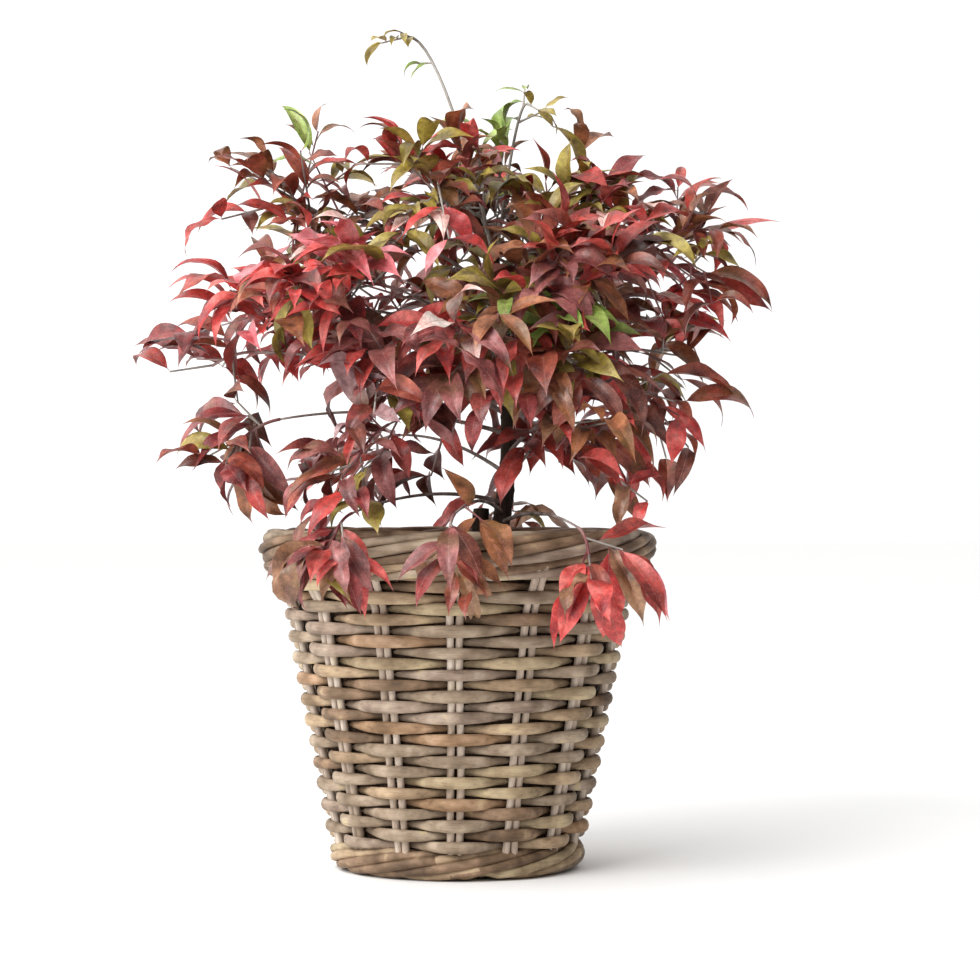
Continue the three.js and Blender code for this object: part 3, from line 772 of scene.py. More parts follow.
def rattan(name, light, mid, dark, upright=False):
    """A dry cane: fine fibres along it, broad weathered patches, dark flecks and knots."""
    shader = Shader(name, roughness=0.7, specular=0.3)
    if upright:
        along = shader.stretched((700, 700, 18))
        broad = shader.stretched((60, 60, 12))
    else:
        along = shader.round_the_axis((4, 500, 700))
        broad = shader.round_the_axis((6, 60, 70))
    fibres = shader.noise(along, 1.0, 5, 0.6)
    patches = shader.noise(broad, 1.0, 3, 0.5)
    colour = shader.ramp(patches, [(0.3, dark), (0.48, mid), (0.64, light), (0.78, "#ccb98c")])
    streak = shader.ramp(fibres, [(0.3, "#85796a"), (0.5, "#ffffff"), (0.8, "#ffffff")])
    colour = shader.blend(0.4, colour, streak, "MULTIPLY")
    return shader.finish(colour, shader.spread(fibres, 0.75, 0.5), fibres, 0.3, 0.0005)


def leaf_paint(name, light, mid, dark, green="#c0c0c0", roughness=0.36):
    """A leaf's skin: its own colour, mottled, with green parts, pale patches that are partly painted
    highlight, a bloom, flecks that are partly painted glints, and a gloss.
    """
    shader = Shader(name, roughness=roughness, specular=0.5)
    place = shader.place()
    broad = shader.noise(place, 60, 3, 0.5)
    patches = shader.noise(place, 260, 4, 0.65)
    fine = shader.noise(place, 900, 3, 0.6)
    colour = shader.ramp(broad, [(0.34, dark), (0.5, mid), (0.66, light)])
    green_parts = shader.ramp(shader.noise(place, 34, 2, 0.5), [(0.54, "#000000"), (0.7, green)])
    colour = shader.blend(green_parts, colour, linear("#6a5c2c"))
    # Pale patches screened over the colour: partly the leaf's own paler parts, partly painted highlight.
    pale_patches_and_painted_highlight = shader.ramp(shader.noise(place, 42, 2, 0.5), [(0.56, "#000000"), (0.74, "#8a6258")])
    colour = shader.blend(0.5, colour, pale_patches_and_painted_highlight, "SCREEN")
    bloom = shader.ramp(patches, [(0.3, "#8d8684"), (0.47, "#cdc8c6"), (0.6, "#ffffff")])
    colour = shader.blend(0.6, colour, bloom, "MULTIPLY")
    # Fine pale flecks screened over the colour: partly the leaf's own speckle, partly painted glints of
    # light.
    flecks = shader.ramp(fine, [(0.52, "#000000"), (0.7, "#946a66")])
    colour = shader.blend(0.45, colour, flecks, "SCREEN")
    rough = shader.spread(patches, roughness + 0.14, roughness - 0.06)
    return shader.finish(colour, rough, fine, 0.3, 0.0003)


# ---------------- the basket

RATTAN_TINTS = {
    "grey": ("#b09d88", "#93806b", "#705e4c"),
    "beige": ("#bca384", "#9f866a", "#79644c"),
    "cream": ("#bda988", "#a28e70", "#7d6950"),
    "lilac": ("#b19e8c", "#94806f", "#705e50"),
    "honey": ("#b8977a", "#9a7a5c", "#755a40"),
    "brown": ("#93775f", "#755e48", "#564333"),
}
RATTAN_SHARES = dict(grey=0.28, beige=0.28, cream=0.14, lilac=0.16, honey=0.04, brown=0.1)
# The rim's canes are mostly brown: painted shade, darker than the wall's canes where the lamp lights the rim
# from above.
RIM_SHARES_PAINTED_SHADE = dict(grey=0.24, beige=0.08, lilac=0.12, honey=0.02, brown=0.54)
FOOT_SHARES = dict(grey=0.24, beige=0.32, cream=0.2, brown=0.24)


def dealt(random, shares):
    """One of the names, each as likely as its share."""
    mark = random() * sum(shares.values())
    for name, share in shares.items():
        mark -= share
        if mark <= 0:
            break
    return name


def wall_radius(z):
    low = lerp(WALL_RADIUS_LOW, WALL_RADIUS_HIGH, (z - WALL_BOTTOM) / (FLARE_START - WALL_BOTTOM))
    high = lerp(WALL_RADIUS_HIGH, FLARE_RADIUS, (z - FLARE_START) / (WALL_TOP - FLARE_START))
    return np.where(np.asarray(z) < FLARE_START, low, high)


def polar(angle, radius, z):
    """Points round the basket. Angle 0 is the front, -Y, and angles grow towards +X."""
    angle, radius, z = np.broadcast_arrays(angle, radius, z)
    return np.stack([radius * np.sin(angle), -radius * np.cos(angle), z], axis=-1)


# A cane of the wall: how far it swings in and out, its half height and thickness, how thin it ends, how far
# it reaches as a share of a stake's place, and how much it may be shifted, tilted, lifted and scaled.
WEAVER = {"swing": 5.4, "half_height": 4.35, "half_thickness": 3.0, "end": 0.34, "steps": 28, "sides": 10,
          "reach": [1.02, 1.12], "shift": [-0.01, 0.01], "tilt": [-0.9, 0.9], "lift": [-0.35, 0.35],
          "size": [0.9, 1.06]}
STAKE = {"radius": 2.6, "apart": 6.1, "steps": 70, "low": 14, "above_wall": 10, "outward": 0.4, "sway": 0.5,
         "sway_rate": [0.03, 0.06], "swelling": 0.05, "swelling_rate": 0.21}


def weave_wall(piles, random):
    """Rows of canes that go in front of every other stake pair, each cane one front pass long."""
    pitch = (WALL_TOP - WALL_BOTTOM) / WEAVE_ROWS
    share = np.linspace(-1, 1, WEAVER["steps"])
    taper = lerp(WEAVER["end"], 1, np.cos(share * math.pi / 2) ** 1.1)
    for row in range(WEAVE_ROWS):
        z_row = WALL_BOTTOM + (row + 0.5) * pitch
        for turn in range(STAKE_PAIRS // 2):
            middle = (2 * turn + row % 2) / STAKE_PAIRS * TURN
            reach = TURN / STAKE_PAIRS * drawn(random, WEAVER["reach"])
            angle = middle + share * reach + drawn(random, WEAVER["shift"])
            swing = WEAVER["swing"] * np.cos((angle - middle) * STAKE_PAIRS / 2)
            tilt = drawn(random, WEAVER["tilt"]) * share + drawn(random, WEAVER["lift"])
            size = drawn(random, WEAVER["size"]) * taper
            path = polar(angle, wall_radius(z_row) + swing, z_row + tilt)
            add_rod(piles[dealt(random, RATTAN_SHARES)], path, polar(angle, 1.0, 0.0), UP + 0 * path,
                    WEAVER["half_thickness"] * size, WEAVER["half_height"] * size, WEAVER["sides"])


def stakes(pile, random):
    """Two upright rods side by side at each stake place."""
    z = np.linspace(STAKE["low"], WALL_TOP + STAKE["above_wall"], STAKE["steps"])
    radius = wall_radius(z) + STAKE["outward"]
    for pair in range(STAKE_PAIRS):
        for side in (-1, 1):
            sway = STAKE["sway"] * np.sin(z * drawn(random, STAKE["sway_rate"]) + random() * TURN)
            angle = pair / STAKE_PAIRS * TURN + (side * STAKE["apart"] / 2 + sway) / radius
            swelling = STAKE["swelling"] * np.sin(z * STAKE["swelling_rate"] + random() * TURN)
            thick = STAKE["radius"] * (1 + swelling)
            add_rod(pile, polar(angle, radius, z), polar(angle, 1.0, 0.0), polar(angle + TURN / 4, 1.0, 0.0),
                    thick, thick)


# Each border is a rope of canes. They lie on a ring round its own middle, and in a full turn of the basket
# they move on by some of their places. Each cane is made up of a few lengths that overlap and are tucked in.
ROPE = {"steps": 34, "sides": 8, "begins": [-0.25, 0.25], "overlap": [0.02, 0.3], "tuck": 0.06,
        "wobble": 0.35, "wobble_rate": [5, 11], "size": [0.9, 1.06], "tucked_size": 0.72}
ROPES = [
    {"node": "basket_rim", "tints": RIM_SHARES_PAINTED_SHADE, "radius": 127.5, "under_top": 12.4, "ring": 9.0,
     "thick": 3.5, "canes": 8, "moves": 19, "lengths": 4},
    {"node": "basket_rim", "tints": RIM_SHARES_PAINTED_SHADE, "radius": 127, "over_foot": 8.6, "ring": 5.6,
     "thick": 3.0, "canes": 6, "moves": 18, "lengths": 4},
    {"node": "basket_foot", "tints": FOOT_SHARES, "radius": 79, "over_middle": 1.2, "ring": 7.0,
     "thick": 3.3, "canes": 7, "moves": 15, "lengths": 3},
]


def rope_height(rope):
    """The height of the rope's middle, measured from the box of its node."""
    low, high = [corner[2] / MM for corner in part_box(rope["node"])]
    if "under_top" in rope:
        return high - rope["under_top"]
    if "over_foot" in rope:
        return low + rope["over_foot"]
    return (low + high) / 2 + rope["over_middle"]


def add_rope(piles, random, rope):
    z = rope_height(rope)
    share = np.linspace(0, 1, ROPE["steps"])
    ends = np.clip(ROPE["tuck"] - share, 0, 1) + np.clip(share - 1 + ROPE["tuck"], 0, 1)
    tuck = 1 - 0.5 * ends / ROPE["tuck"]
    for cane in range(rope["canes"]):
        for piece in range(rope["lengths"]):
            start = piece / rope["lengths"] * TURN + drawn(random, ROPE["begins"])
            angle = start + share * (TURN / rope["lengths"] + drawn(random, ROPE["overlap"]))
            lay = (cane / rope["canes"] + rope["moves"] / rope["canes"] * angle / TURN) * TURN
            wobble = ROPE["wobble"] * np.sin(angle * drawn(random, ROPE["wobble_rate"]) + random() * TURN)
            out = rope["ring"] * tuck + wobble
            path = polar(angle, rope["radius"] + out * np.cos(lay), z + out * np.sin(lay))
            size = rope["thick"] * drawn(random, ROPE["size"]) * lerp(ROPE["tucked_size"], 1, tuck)
            pile = piles[dealt(random, rope["tints"])]
            add_tube(pile, path, size, ROPE["sides"])


FLOOR = {"laps": 9, "first": 6, "pitch": 7.4, "height": 6, "wave": 1.6, "waves": 7, "steps": 48,
         "half_width": 3.6, "half_height": 3.2}


def floor_canes():
    """Rings of cane that rise and fall over the floor, one inside the other."""
    pile = Pile()
    angle = np.linspace(0, TURN, FLOOR["steps"] + 1)
    for lap in range(FLOOR["laps"]):
        height = FLOOR["height"] + FLOOR["wave"] * np.cos(angle * FLOOR["waves"] + lap * math.pi)
        path = polar(angle, FLOOR["first"] + lap * FLOOR["pitch"], height)
        add_rod(pile, path, polar(angle, 1.0, 0.0), UP + 0 * path, FLOOR["half_width"], FLOOR["half_height"])
    return pile


def basket():
    random = random_stream(1000)
    piles = {name: Pile() for name in RATTAN_TINTS}
    weave_wall(piles, random)
    for rope in ROPES:
        add_rope(piles, random, rope)
    for name, pile in piles.items():
        paint = rattan("rattan_" + name, *RATTAN_TINTS[name])
        pile.dress(["basket_wall", "basket_rim", "basket_foot"], "rattan", "canes_" + name, paint, 50)
    uprights = Pile()
    stakes(uprights, random)
    paint = rattan("rattan_stakes", "#d8c8b8", "#c0ad9c", "#96836f", upright=True)
    uprights.dress(["basket_wall"], "rattan", "stakes", paint)
    paint = rattan("rattan_floor", "#a8967e", "#8d7b65", "#66574a")
    floor_canes().dress(["basket_floor"], "rattan", "floor_canes", paint)


# ---------------- soil

# The soil spreads a little under the border and rises there. Its side narrows to a bottom inside the foot.
SOIL = {"rings": 26, "corners": 72, "spill": 6, "lip": 6, "lumps": 1.6, "sunk": 1.2, "side_depth": 12,
        "bottom": 14.0, "bottom_share": 0.69}
CRUMB = {"count": 420, "within": 0.95, "size": [0.9, 2.8], "half": [0.4, 1.3], "highest": 1.6, "sunk": 0.6,
         "corner": [0.6, 1.0]}
CUBE_CORNERS = np.array([[x, y, z] for x in (-1, 1) for y in (-1, 1) for z in (-1, 1)], float)
CUBE_FACES = [[0, 1, 3, 2], [4, 6, 7, 5], [0, 4, 5, 1], [2, 3, 7, 6], [0, 2, 6, 4], [1, 5, 7, 3]]


def soil():
    """A plug of crumbly soil that fills the basket, with crumbs on it."""
    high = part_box("soil")[1]
    top, reach = high[2] / MM, high[0] / MM
    share = np.linspace(0.02, 1, SOIL["rings"])[:, None]
    angle = np.arange(SOIL["corners"]) / SOIL["corners"] * TURN
    flat = polar(angle, share * (reach + SOIL["spill"]), top + SOIL["lip"] * share ** 10).reshape(-1, 3)
    flat[:, 2] += SOIL["lumps"] * wave_noise(flat, 3, 0.16, 3) - SOIL["sunk"]
    bottom = polar(angle, reach * SOIL["bottom_share"], SOIL["bottom"])
    side = polar(angle, reach, top - SOIL["side_depth"])
    quads, tris = closed_faces(SOIL["rings"] + 2, SOIL["corners"])
    bed = Pile()
    bed.add(np.vstack([flat, side, bottom, [[0, 0, top - 1], [0, 0, SOIL["bottom"] - 1]]]),
            quads[:, ::-1], tris[:, ::-1])
    shader = Shader("potting_soil", roughness=0.95, specular=0.2)
    colour, lumps = shader.mottle((0.3, 0.5, 0.7), ("#1c130e", "#3a2a20", "#5a4534"), 260, 6, 0.7)
    bed.dress(["soil"], "soil", "soil_bed", shader.finish(colour, None, lumps, 0.9, 0.002))

    crumbs = Pile()
    random = np.random.default_rng(11)
    for _ in range(CRUMB["count"]):
        angle = random.uniform(0, TURN)
        distance = reach * CRUMB["within"] * math.sqrt(random.uniform(0.01, 1))
        size = random.uniform(*CRUMB["size"])
        axes, _ = np.linalg.qr(random.normal(size=(3, 3)))
        half = size * random.uniform(*CRUMB["half"], size=3)
        half[2] = min(half[2], CRUMB["highest"])
        corners = CUBE_CORNERS * random.uniform(*CRUMB["corner"], size=(8, 1))
        crumbs.add(polar(angle, distance, top - CRUMB["sunk"]) + (corners * half) @ axes.T, CUBE_FACES)
    shader = Shader("soil_crumbs", roughness=0.9, specular=0.2)
    colour, grain = shader.mottle((0.35, 0.6, 0.75), ("#2c1f17", "#5b4432", "#7d6750"), 420, 4, 0.6)
    crumbs.dress(["soil"], "soil", "soil_crumbs", shader.finish(colour, None, grain, 0.6, 0.001), 30)


# ---------------- wood


def bark(name, light, mid, dark, cracked=0.6):
    """Bark with fine upright cracks and broad patches."""
    shader = Shader(name, roughness=0.85, specular=0.25)
    cracks = shader.noise(shader.stretched((420, 420, 60)), 1.0, 6, 0.65)
    broad = shader.noise(shader.stretched((90, 90, 30)), 1.0, 3, 0.5)
    colour = shader.ramp(broad, [(0.32, dark), (0.52, mid), (0.72, light)])
    crack_shade = shader.ramp(cracks, [(0.36, "#4a3f38"), (0.6, "#ffffff")])
    colour = shader.blend(cracked, colour, crack_shade, "MULTIPLY")
    return shader.finish(colour, shader.spread(cracks, 0.95, 0.75), cracks, 0.8, 0.0012)


# The bark's relief: how deep its ridges, knots and rings are, the rings' pitch and breadth, and the radius
# from which a limb has all of it.
BARK = {"ridges": 0.55, "knots": 0.5, "rings": 0.5, "ring_pitch": 17, "ring_breadth": 1.4, "whole_from": 4,
        "end_dome": 0.8}


def add_trunk(pile, limb, seed, relief, steps, sides=36):
    """A barked limb with level rings: long ridges, knots and the rings that old leaf bases leave."""
    t = np.linspace(0, 1, steps)
    centre = limb.points(t)
    turns = np.arange(sides) / sides * TURN
    radius = limb.radius_at(t)
    direction = np.stack([np.cos(turns), np.sin(turns), 0 * turns], axis=-1)
    skin = centre[:, None] + direction * radius[:, None, None]
    flat = skin.reshape(-1, 3)
    ridges = wave_noise(flat * [1, 1, 0.12], seed, 0.55, 3)
    knots = wave_noise(flat, seed + 1, 0.12, 2)
    from_ring = (flat[:, 2] + 2 * knots) % BARK["ring_pitch"] - BARK["ring_pitch"] / 2
    rings = np.exp(-from_ring ** 2 / BARK["ring_breadth"])
    shift = relief * (BARK["ridges"] * ridges + BARK["knots"] * knots + BARK["rings"] * rings)
    room = np.minimum(1, radius / BARK["whole_from"])[:, None]
    skin = skin + direction * (shift.reshape(steps, sides) * room)[..., None]
    pile.add_closed(skin[None], [[centre[0], centre[-1] + UP * BARK["end_dome"]]])


BOUGH_SKIN = {"steps": 22, "slimmer": [0.75, 0.5], "flare": 0.9, "flare_fall": 26}


def wood(trunk, stub, boughs):
    pile = Pile()
    add_trunk(pile, trunk, 21, 1.0, 150)
    add_trunk(pile, stub, 31, 0.8, 50)
    pile.dress(["trunk"], "bark", "trunk_bark", bark("trunk_bark", "#65544a", "#43362d", "#261c17"), 70)
    pile = Pile()
    t = np.linspace(0, 1, BOUGH_SKIN["steps"])
    flare = BOUGH_SKIN["flare"] * np.exp(-t * BOUGH_SKIN["flare_fall"])
    for bough in filter(None, boughs):
        add_tube(pile, bough.points(t), bough.radius_at(t) * lerp(*BOUGH_SKIN["slimmer"], t) + flare, 8)
    nodes = ["bough_" + mass["name"] for mass in MASSES if mass["bough"]]
    pile.dress(nodes, "bark", "bough_bark", bark("bough_bark", "#b5aaa4", "#978780", "#6e5c55", 0.3), 70)


# ---------------- foliage

LEAF_TINTS = {
    "scarlet": ("#f68078", "#da4642", "#9e282a"),
    "coral": ("#ffaab0", "#ee7a82", "#c44e56"),
    "crimson": ("#d45650", "#b03c34", "#782720"),
    "wine": ("#ac4a47", "#882a2a", "#561a1a"),
    "burgundy": ("#b85e48", "#92402f", "#64241a"),
    "maroon": ("#8c4c3c", "#6c3426", "#461c14"),
    "copper": ("#ba7850", "#905836", "#623a20"),
    "plum": ("#b26e6b", "#8c4a47", "#5e2b2a"),
    "mauve": ("#ccaaa8", "#a88284", "#806062"),
    "olive": ("#c2b050", "#9a8838", "#6a5c24"),
    "green": ("#b8d070", "#92b04e", "#688434"),
    "pink": ("#fff0e6", "#fccfc4", "#e6a098"),
    "dry": ("#b88e6c", "#94684a", "#66442e"),
}
# How green a leaf's green parts are, where it isn't the most.
GREEN_PARTS = {"wine": "#707070", "scarlet": "#505050", "coral": "#202020", "crimson": "#808080",
               "pink": "#303030"}
TINT_SLOTS = {"coral": "scarlet", "wine": "crimson", "maroon": "burgundy", "mauve": "plum"}
SPRAY_TINTS = {
    "scarlet": dict(scarlet=0.46, coral=0.2, crimson=0.24, pink=0.03, burgundy=0.04, olive=0.03),
    "crimson": dict(crimson=0.42, scarlet=0.12, wine=0.14, burgundy=0.1, plum=0.06, maroon=0.06,
                    copper=0.06, olive=0.04),
    "burgundy": dict(burgundy=0.3, crimson=0.16, wine=0.08, plum=0.06, copper=0.22, maroon=0.1, olive=0.06,
                     green=0.02),
    "copper": dict(copper=0.36, burgundy=0.16, olive=0.24, scarlet=0.06, maroon=0.12, green=0.01),
    "plum": dict(plum=0.32, mauve=0.04, wine=0.16, burgundy=0.1, crimson=0.32, copper=0.04, olive=0.02),
    "olive": dict(olive=0.34, copper=0.34, green=0.01, burgundy=0.12, maroon=0.1, crimson=0.1),
    "young": dict(green=0.5, olive=0.5),
    "inside": dict(maroon=0.4, olive=0.22, copper=0.18, burgundy=0.14, green=0.06),
}
STRAY_TINTS = dict(scarlet=0.26, burgundy=0.2, plum=0.1, olive=0.12, green=0.04, copper=0.16, pink=0.08)
STRAY_SPRAYS = 0.16
STRAY_LEAVES = 0.14
TINT_SPREAD = 0.8
YOUNG_ABOVE = {"middle": 365, "rise": 1.2}
DRY = {"below": 290, "right_of": 40, "share": 0.05, "share_at_right": 0.16}
SHADED = {"below": 335, "share": 0.75}
SHADED_TINTS = dict(wine=0.46, plum=0.26, maroon=0.2, olive=0.08)
SPRIGS_ABOVE = 500
YOUNG_SPRAYS = {"middle": [77, -110, 369], "reach": 32}
CRUMPLE = {"dry": 1.9, "mauve": 1.4, "plum": 1.2}
STALK_SKINS = {"red": ("#6a2c31", "#8a5a58", "#a58a86"), "grey": ("#6f6862", "#948c84", "#b9b4ac")}
RED_STALKS = 0.5
# The inside of the crown, where leaves take darker tints, mostly maroon: partly the olive and brown of inner
# leaves, partly painted shade.
INSIDE = {"middle": [10, 0, 385], "half_sizes": [120, 105, 75]}

# A leaf's blade, with its arch, fold and twist in degrees. Its stalk takes up the first part of its length.
# At a share of it the arch is level and the twist is nought. Leaves shorter than the full ones are thinner.
BLADE = {"steps": 15, "across": 3, "drawn": 0.96, "width": [0.27, 0.42], "thickness": 0.42,
         "arch": [35, 130], "fold": [8, 38], "curl": [-0.05, 0.3], "twist": [-30, 30], "level_at": 0.42,
         "untwisted_at": 0.3, "wave": [0, 0.05], "wave_rate": [1.2, 2.6], "stalk": 0.1, "stalk_half": 0.35,
         "veins": 5, "vein_slant": 0.22, "vein_depth": 0.3, "full_thickness": 40, "full_veins": 50}
RIB = {"half": 0.42, "thinner": 0.75, "above": 0.55, "below": 0.9, "sunk": 0.5}
STALK = {"stem_steps": 14, "stem": 0.8, "twig_steps": 8, "twig": [0.8, 0.6]}


def blades(leaves, random, crumple):
    """The closed blades and the midribs of many leaves: rings of corners and the points that close them."""
    count = len(leaves)

    def draws(name):
        return random.uniform(*BLADE[name], (count, 1))

    root, along, normal = [np.array([getattr(leaf, name) for leaf in leaves])[:, None]
                           for name in ("root", "direction", "normal")]
    side = np.cross(along, normal)
    length = np.array([[leaf.length] for leaf in leaves]) * BLADE["drawn"]
    arch = np.radians(draws("arch")) * crumple
    fold = np.radians(draws("fold"))[..., None]
    curl = draws("curl")[..., None]
    twist = np.radians(draws("twist"))
    width = length * draws("width") / 2
    wave = draws("wave") * crumple ** 2
    wave_at = random.uniform(0, TURN, (count, 2))
    wave_rate = draws("wave_rate")

    t = np.linspace(0, 1, BLADE["steps"] + 1)
    angle = arch * (BLADE["level_at"] - t ** 1.25)
    step = np.stack([np.cos(angle), np.sin(angle)], axis=-1)
    curve = np.cumsum((step[:, :-1] + step[:, 1:]) / 2, axis=1)
    curve = np.concatenate([np.zeros((count, 1, 2)), curve], axis=1)
    size = np.linalg.norm(curve[:, -1], axis=1)[:, None]
    cosine, sine = curve[:, -1, :1] / size, curve[:, -1, 1:] / size
    ahead = (curve[..., 0] * cosine + curve[..., 1] * sine) / size * length
    above = (curve[..., 1] * cosine - curve[..., 0] * sine) / size * length
    heading = (angle - np.arctan2(sine, cosine))[..., None]
    spine = root + along * ahead[..., None] + normal * above[..., None]
    lift = normal * np.cos(heading) - along * np.sin(heading)
    spin = (twist * (t - BLADE["untwisted_at"]))[..., None]
    out = side * np.cos(spin) + lift * np.sin(spin)
    lift = lift * np.cos(spin) - side * np.sin(spin)

    open_blade = np.clip((t - BLADE["stalk"]) / (1 - BLADE["stalk"]), 0, 1)
    outline = np.sin(math.pi * open_blade ** 0.78) ** (0.8 + 1.3 * open_blade ** 2)
    outline[-1] = 0.0
    half = (width * outline + BLADE["stalk_half"] * (1 - t))[..., None]
    outline = outline[:, None]
    across = np.linspace(-1, 1, 2 * BLADE["across"] + 1)
    rise = np.abs(across)
    ripple = np.sin((TURN * wave_rate * t)[..., None] + wave_at[:, None, np.where(across < 0, 0, 1)])
    waves = (wave * length)[..., None] * rise ** 1.5 * ripple * outline
    veins = np.sin(TURN * BLADE["veins"] * (t[:, None] - BLADE["vein_slant"] * rise)) * 4 * rise * (1 - rise)
    vein_depth = BLADE["vein_depth"] * np.minimum(1, length / BLADE["full_veins"])[..., None]
    flat = half * across * np.cos(fold)
    high = half * (rise * np.sin(fold) - curl * rise ** 2) + waves + vein_depth * veins * outline
    top = spine[:, :, None] + out[:, :, None] * flat[..., None] + lift[:, :, None] * high[..., None]
    full = np.minimum(1, length / BLADE["full_thickness"])[..., None]
    thick = BLADE["thickness"] * (1 - rise[1:-1] ** 2) * full
    under = top[:, :, 1:-1] - lift[:, :, None] * (thick * np.minimum(1, outline * 3))[..., None]
    ring = np.concatenate([top, under[:, :, ::-1]], axis=2)[:, 1:-1]

    thin = (RIB["half"] * (1 - RIB["thinner"] * t) * np.minimum(1, length / BLADE["full_veins"]))[..., None]
    below = thin * RIB["below"] + BLADE["thickness"] * RIB["sunk"]
    rib = np.stack([spine + out * thin, spine + lift * (thin * RIB["above"]), spine - out * thin,
                    spine - lift * below], axis=2)
    return (ring, spine[:, [0, -1]]), (rib[:, 1:-1], rib[:, [0, -1], 0])


HEARTS = np.array([mass["heart"] for mass in MASSES], float)


def home_tint(spray, deal):
    """The colour of the mass whose heart is nearest to somewhere round the end of the spray, or the darker
    tints of the inside, which are partly painted shade. What hangs over the rim or stands up as a sprig has
    its own mass's colour."""
    mass = spray["mass"]
    if not BASKET_HEIGHT < mass["heart"][2] < SPRIGS_ABOVE:
        return mass["tint"]
    tip = spray["twig"].at(1)
    if np.linalg.norm(tip - YOUNG_SPRAYS["middle"]) < YOUNG_SPRAYS["reach"]:
        return "young"
    place = tip + TINT_SPREAD * mass["reach"] * (vec(deal(), deal(), deal()) - 0.5)
    if np.linalg.norm((place - INSIDE["middle"]) / INSIDE["half_sizes"]) < 1:
        return "inside"
    return MASSES[int(np.argmin(np.linalg.norm(HEARTS - place, axis=1)))]["tint"]


def own_tint(leaf, tint, deal):
    """The colour of a leaf: its spray's, a stray one, or that of a dry or a shaded leaf."""
    if deal() < STRAY_LEAVES:
        tint = dealt(deal, SPRAY_TINTS.get(tint, STRAY_TINTS))
    x, _, z = leaf.root
    if tint == "green" and z < YOUNG_ABOVE["middle"] + max(0, -x) * YOUNG_ABOVE["rise"]:
        tint = "burgundy"
    if z < DRY["below"] and deal() < DRY["share_at_right" if x > DRY["right_of"] else "share"]:
        return "dry"
    bright = tint in ("scarlet", "coral", "crimson")
    if z < SHADED["below"] and x < 0 and bright and deal() < SHADED["share"]:
        return dealt(deal, SHADED_TINTS)
    return tint


def foliage(sprays, stems):
    """Leaves by tint, midribs, and the stalks that carry them, each kind joined."""
    deal = random_stream(2000)
    by_tint = {name: [] for name in LEAF_TINTS}
    for spray in sprays:
        home = home_tint(spray, deal)
        tint = dealt(deal, STRAY_TINTS if deal() < STRAY_SPRAYS else SPRAY_TINTS[home])
        for leaf in spray["leaves"]:
            by_tint[own_tint(leaf, tint, deal)].append(leaf)
    masses = ["leaves_" + mass["name"] for mass in MASSES]
    random = np.random.default_rng(5)
    ribs = Pile()
    for name, leaves in by_tint.items():
        blade, rib = blades(leaves, random, CRUMPLE.get(name, 1.0))
        pile = Pile()
        pile.add_closed(*blade)
        ribs.add_closed(*rib)
        paint = leaf_paint("leaf_" + name, *LEAF_TINTS[name], GREEN_PARTS.get(name, "#c0c0c0"))
        pile.dress(masses, "leaf_" + TINT_SLOTS.get(name, name), "leaf_" + name, paint, 65)
    paint = leaf_paint("leaf_midribs", "#c98f86", "#a86a66", "#7e4648")
    ribs.dress(masses, "petiole", "leaf_midribs", paint, 80)

    stalks = {name: Pile() for name in STALK_SKINS}
    t = np.linspace(0, 1, STALK["stem_steps"])
    for mass, stem in zip(MASSES, stems):
        skin = "red" if mass["bough"] else "grey"
        add_tube(stalks[skin], stem.points(t), stem.radius_at(t) * STALK["stem"])
    for spray in sprays:
        twig = spray["twig"]
        t = np.linspace(0, max(leaf.at for leaf in spray["leaves"]), STALK["twig_steps"])
        skin = "red" if spray["mass"]["bough"] and deal() < RED_STALKS else "grey"
        add_tube(stalks[skin], twig.points(t), twig.radius_at(t) * lerp(*STALK["twig"], t))
    for name, pile in stalks.items():
        shader = Shader("stalk_" + name, roughness=0.55, specular=0.4)
        colour, _ = shader.mottle((0.36, 0.5, 0.64), STALK_SKINS[name], 40, 3, 0.5)
        fine = shader.noise(shader.place(), 900, 2, 0.5)
        paint = shader.finish(colour, None, fine, 0.2, 0.0002)
        pile.dress(masses, "petiole", "leaf_stalks_" + name, paint, 70)


def plant():
    trunk, stub = Trunk(), stub_limb()
    boughs = [bough_limb(mass, trunk) if mass["bough"] else None for mass in MASSES]
    stems = [stem_limb(mass, bough, trunk) for mass, bough in zip(MASSES, boughs)]
    wood(trunk, stub, boughs)
    woody = [piece for limb in (trunk, stub) for piece in limb_pieces(limb, 6)]
    limbs = list(filter(None, boughs)) + stems
    own_sprays = []
    for i, mass in enumerate(MASSES):
        others = [piece for limb in limbs if limb is not stems[i] for piece in limb_pieces(limb, 3)]
        own_sprays.append(grow_sources_own(mass, i, stems[i], Crowd(woody + others), own_space(mass)))
    sprays = [spray for own in own_sprays for spray in own]
    beads = Beads()
    for limb in [trunk, stub] + limbs + [spray["twig"] for spray in sprays]:
        beads.add(*limb_beads(limb))
    for spray in sprays:
        for leaf in spray["leaves"]:
            beads.add(*leaf_beads(leaf))
    for i, mass in enumerate(MASSES):
        sprays += grow_finer(mass, i, stems[i], boughs[i], own_sprays[i], beads)
    foliage(sprays, stems)


# ---------------- floor, light and camera


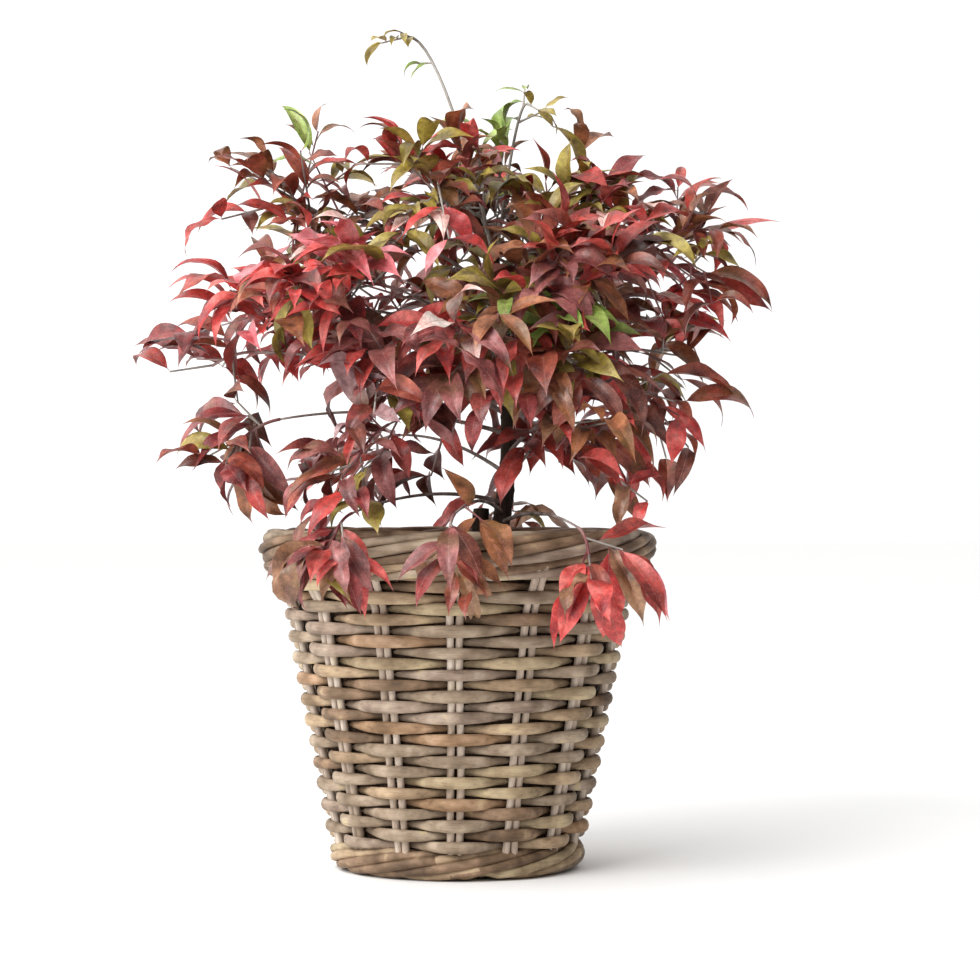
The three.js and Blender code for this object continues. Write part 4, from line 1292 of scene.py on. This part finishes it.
STUDIO_HALF = 12000
SUN_SIDE = (-0.84, 0.33, 0.32)
SKY_LIGHT = 0.8
KEY = {"place": (-1.7, -2.0, 2.0), "aim": (0, 0, 0.3), "size": 2.0, "power": 85}


def studio():
    """A white floor, a sky that is brighter on one side and white for the camera, and one large lamp."""
    shader = Shader("studio_floor", roughness=0.9, specular=0.1)
    colour, _ = shader.mottle((0, 1), ("#fbfbfa", "#fdfdfc"), 3, 2, 0.5)
    floor = Pile()
    floor.add(STUDIO_HALF * vec([-1, -1, 0], [1, -1, 0], [1, 1, 0], [-1, 1, 0]), [0, 1, 2, 3])
    floor.mesh("studio_floor", shader.finish(colour))

    world = bpy.data.worlds.new("studio")
    world.use_nodes = True
    sky = Nodes(world.node_tree)
    direction = sky.node("ShaderNodeTexCoord").outputs["Generated"]
    towards = sky.node("ShaderNodeVectorMath", {0: direction, 1: SUN_SIDE}, operation="DOT_PRODUCT")
    light = sky.math("ADD", towards.outputs["Value"], SKY_LIGHT)
    seen = sky.node("ShaderNodeLightPath").outputs["Is Camera Ray"]
    background = world.node_tree.nodes["Background"]
    background.inputs["Color"].default_value = (1.0, 1.0, 1.0, 1)
    sky.put(sky.math("MAXIMUM", light, seen), background.inputs["Strength"])
    bpy.context.scene.world = world

    data = bpy.data.lights.new("key", "AREA")
    data.size = KEY["size"]
    data.energy = KEY["power"]
    key = bpy.data.objects.new("key", data)
    key.location = KEY["place"]
    key.rotation_euler = Vector(vec(*KEY["aim"]) - vec(*KEY["place"])).to_track_quat("-Z", "Y").to_euler()
    bpy.context.scene.collection.objects.link(key)
    bpy.context.scene.view_settings.view_transform = "Standard"


CAMERA = {"sensor": 36, "lens": 105, "place": (0.023, -2.0, 0.263)}


def camera():
    """The photo's camera: level, two metres in front."""
    data = bpy.data.cameras.new("camera")
    data.sensor_width = CAMERA["sensor"]
    data.lens = CAMERA["lens"]
    eye = bpy.data.objects.new("camera", data)
    eye.location = CAMERA["place"]
    eye.rotation_euler = (math.pi / 2, 0, 0)
    bpy.context.scene.collection.objects.link(eye)
    bpy.context.scene.camera = eye


camera()
studio()
basket()
soil()
plant()
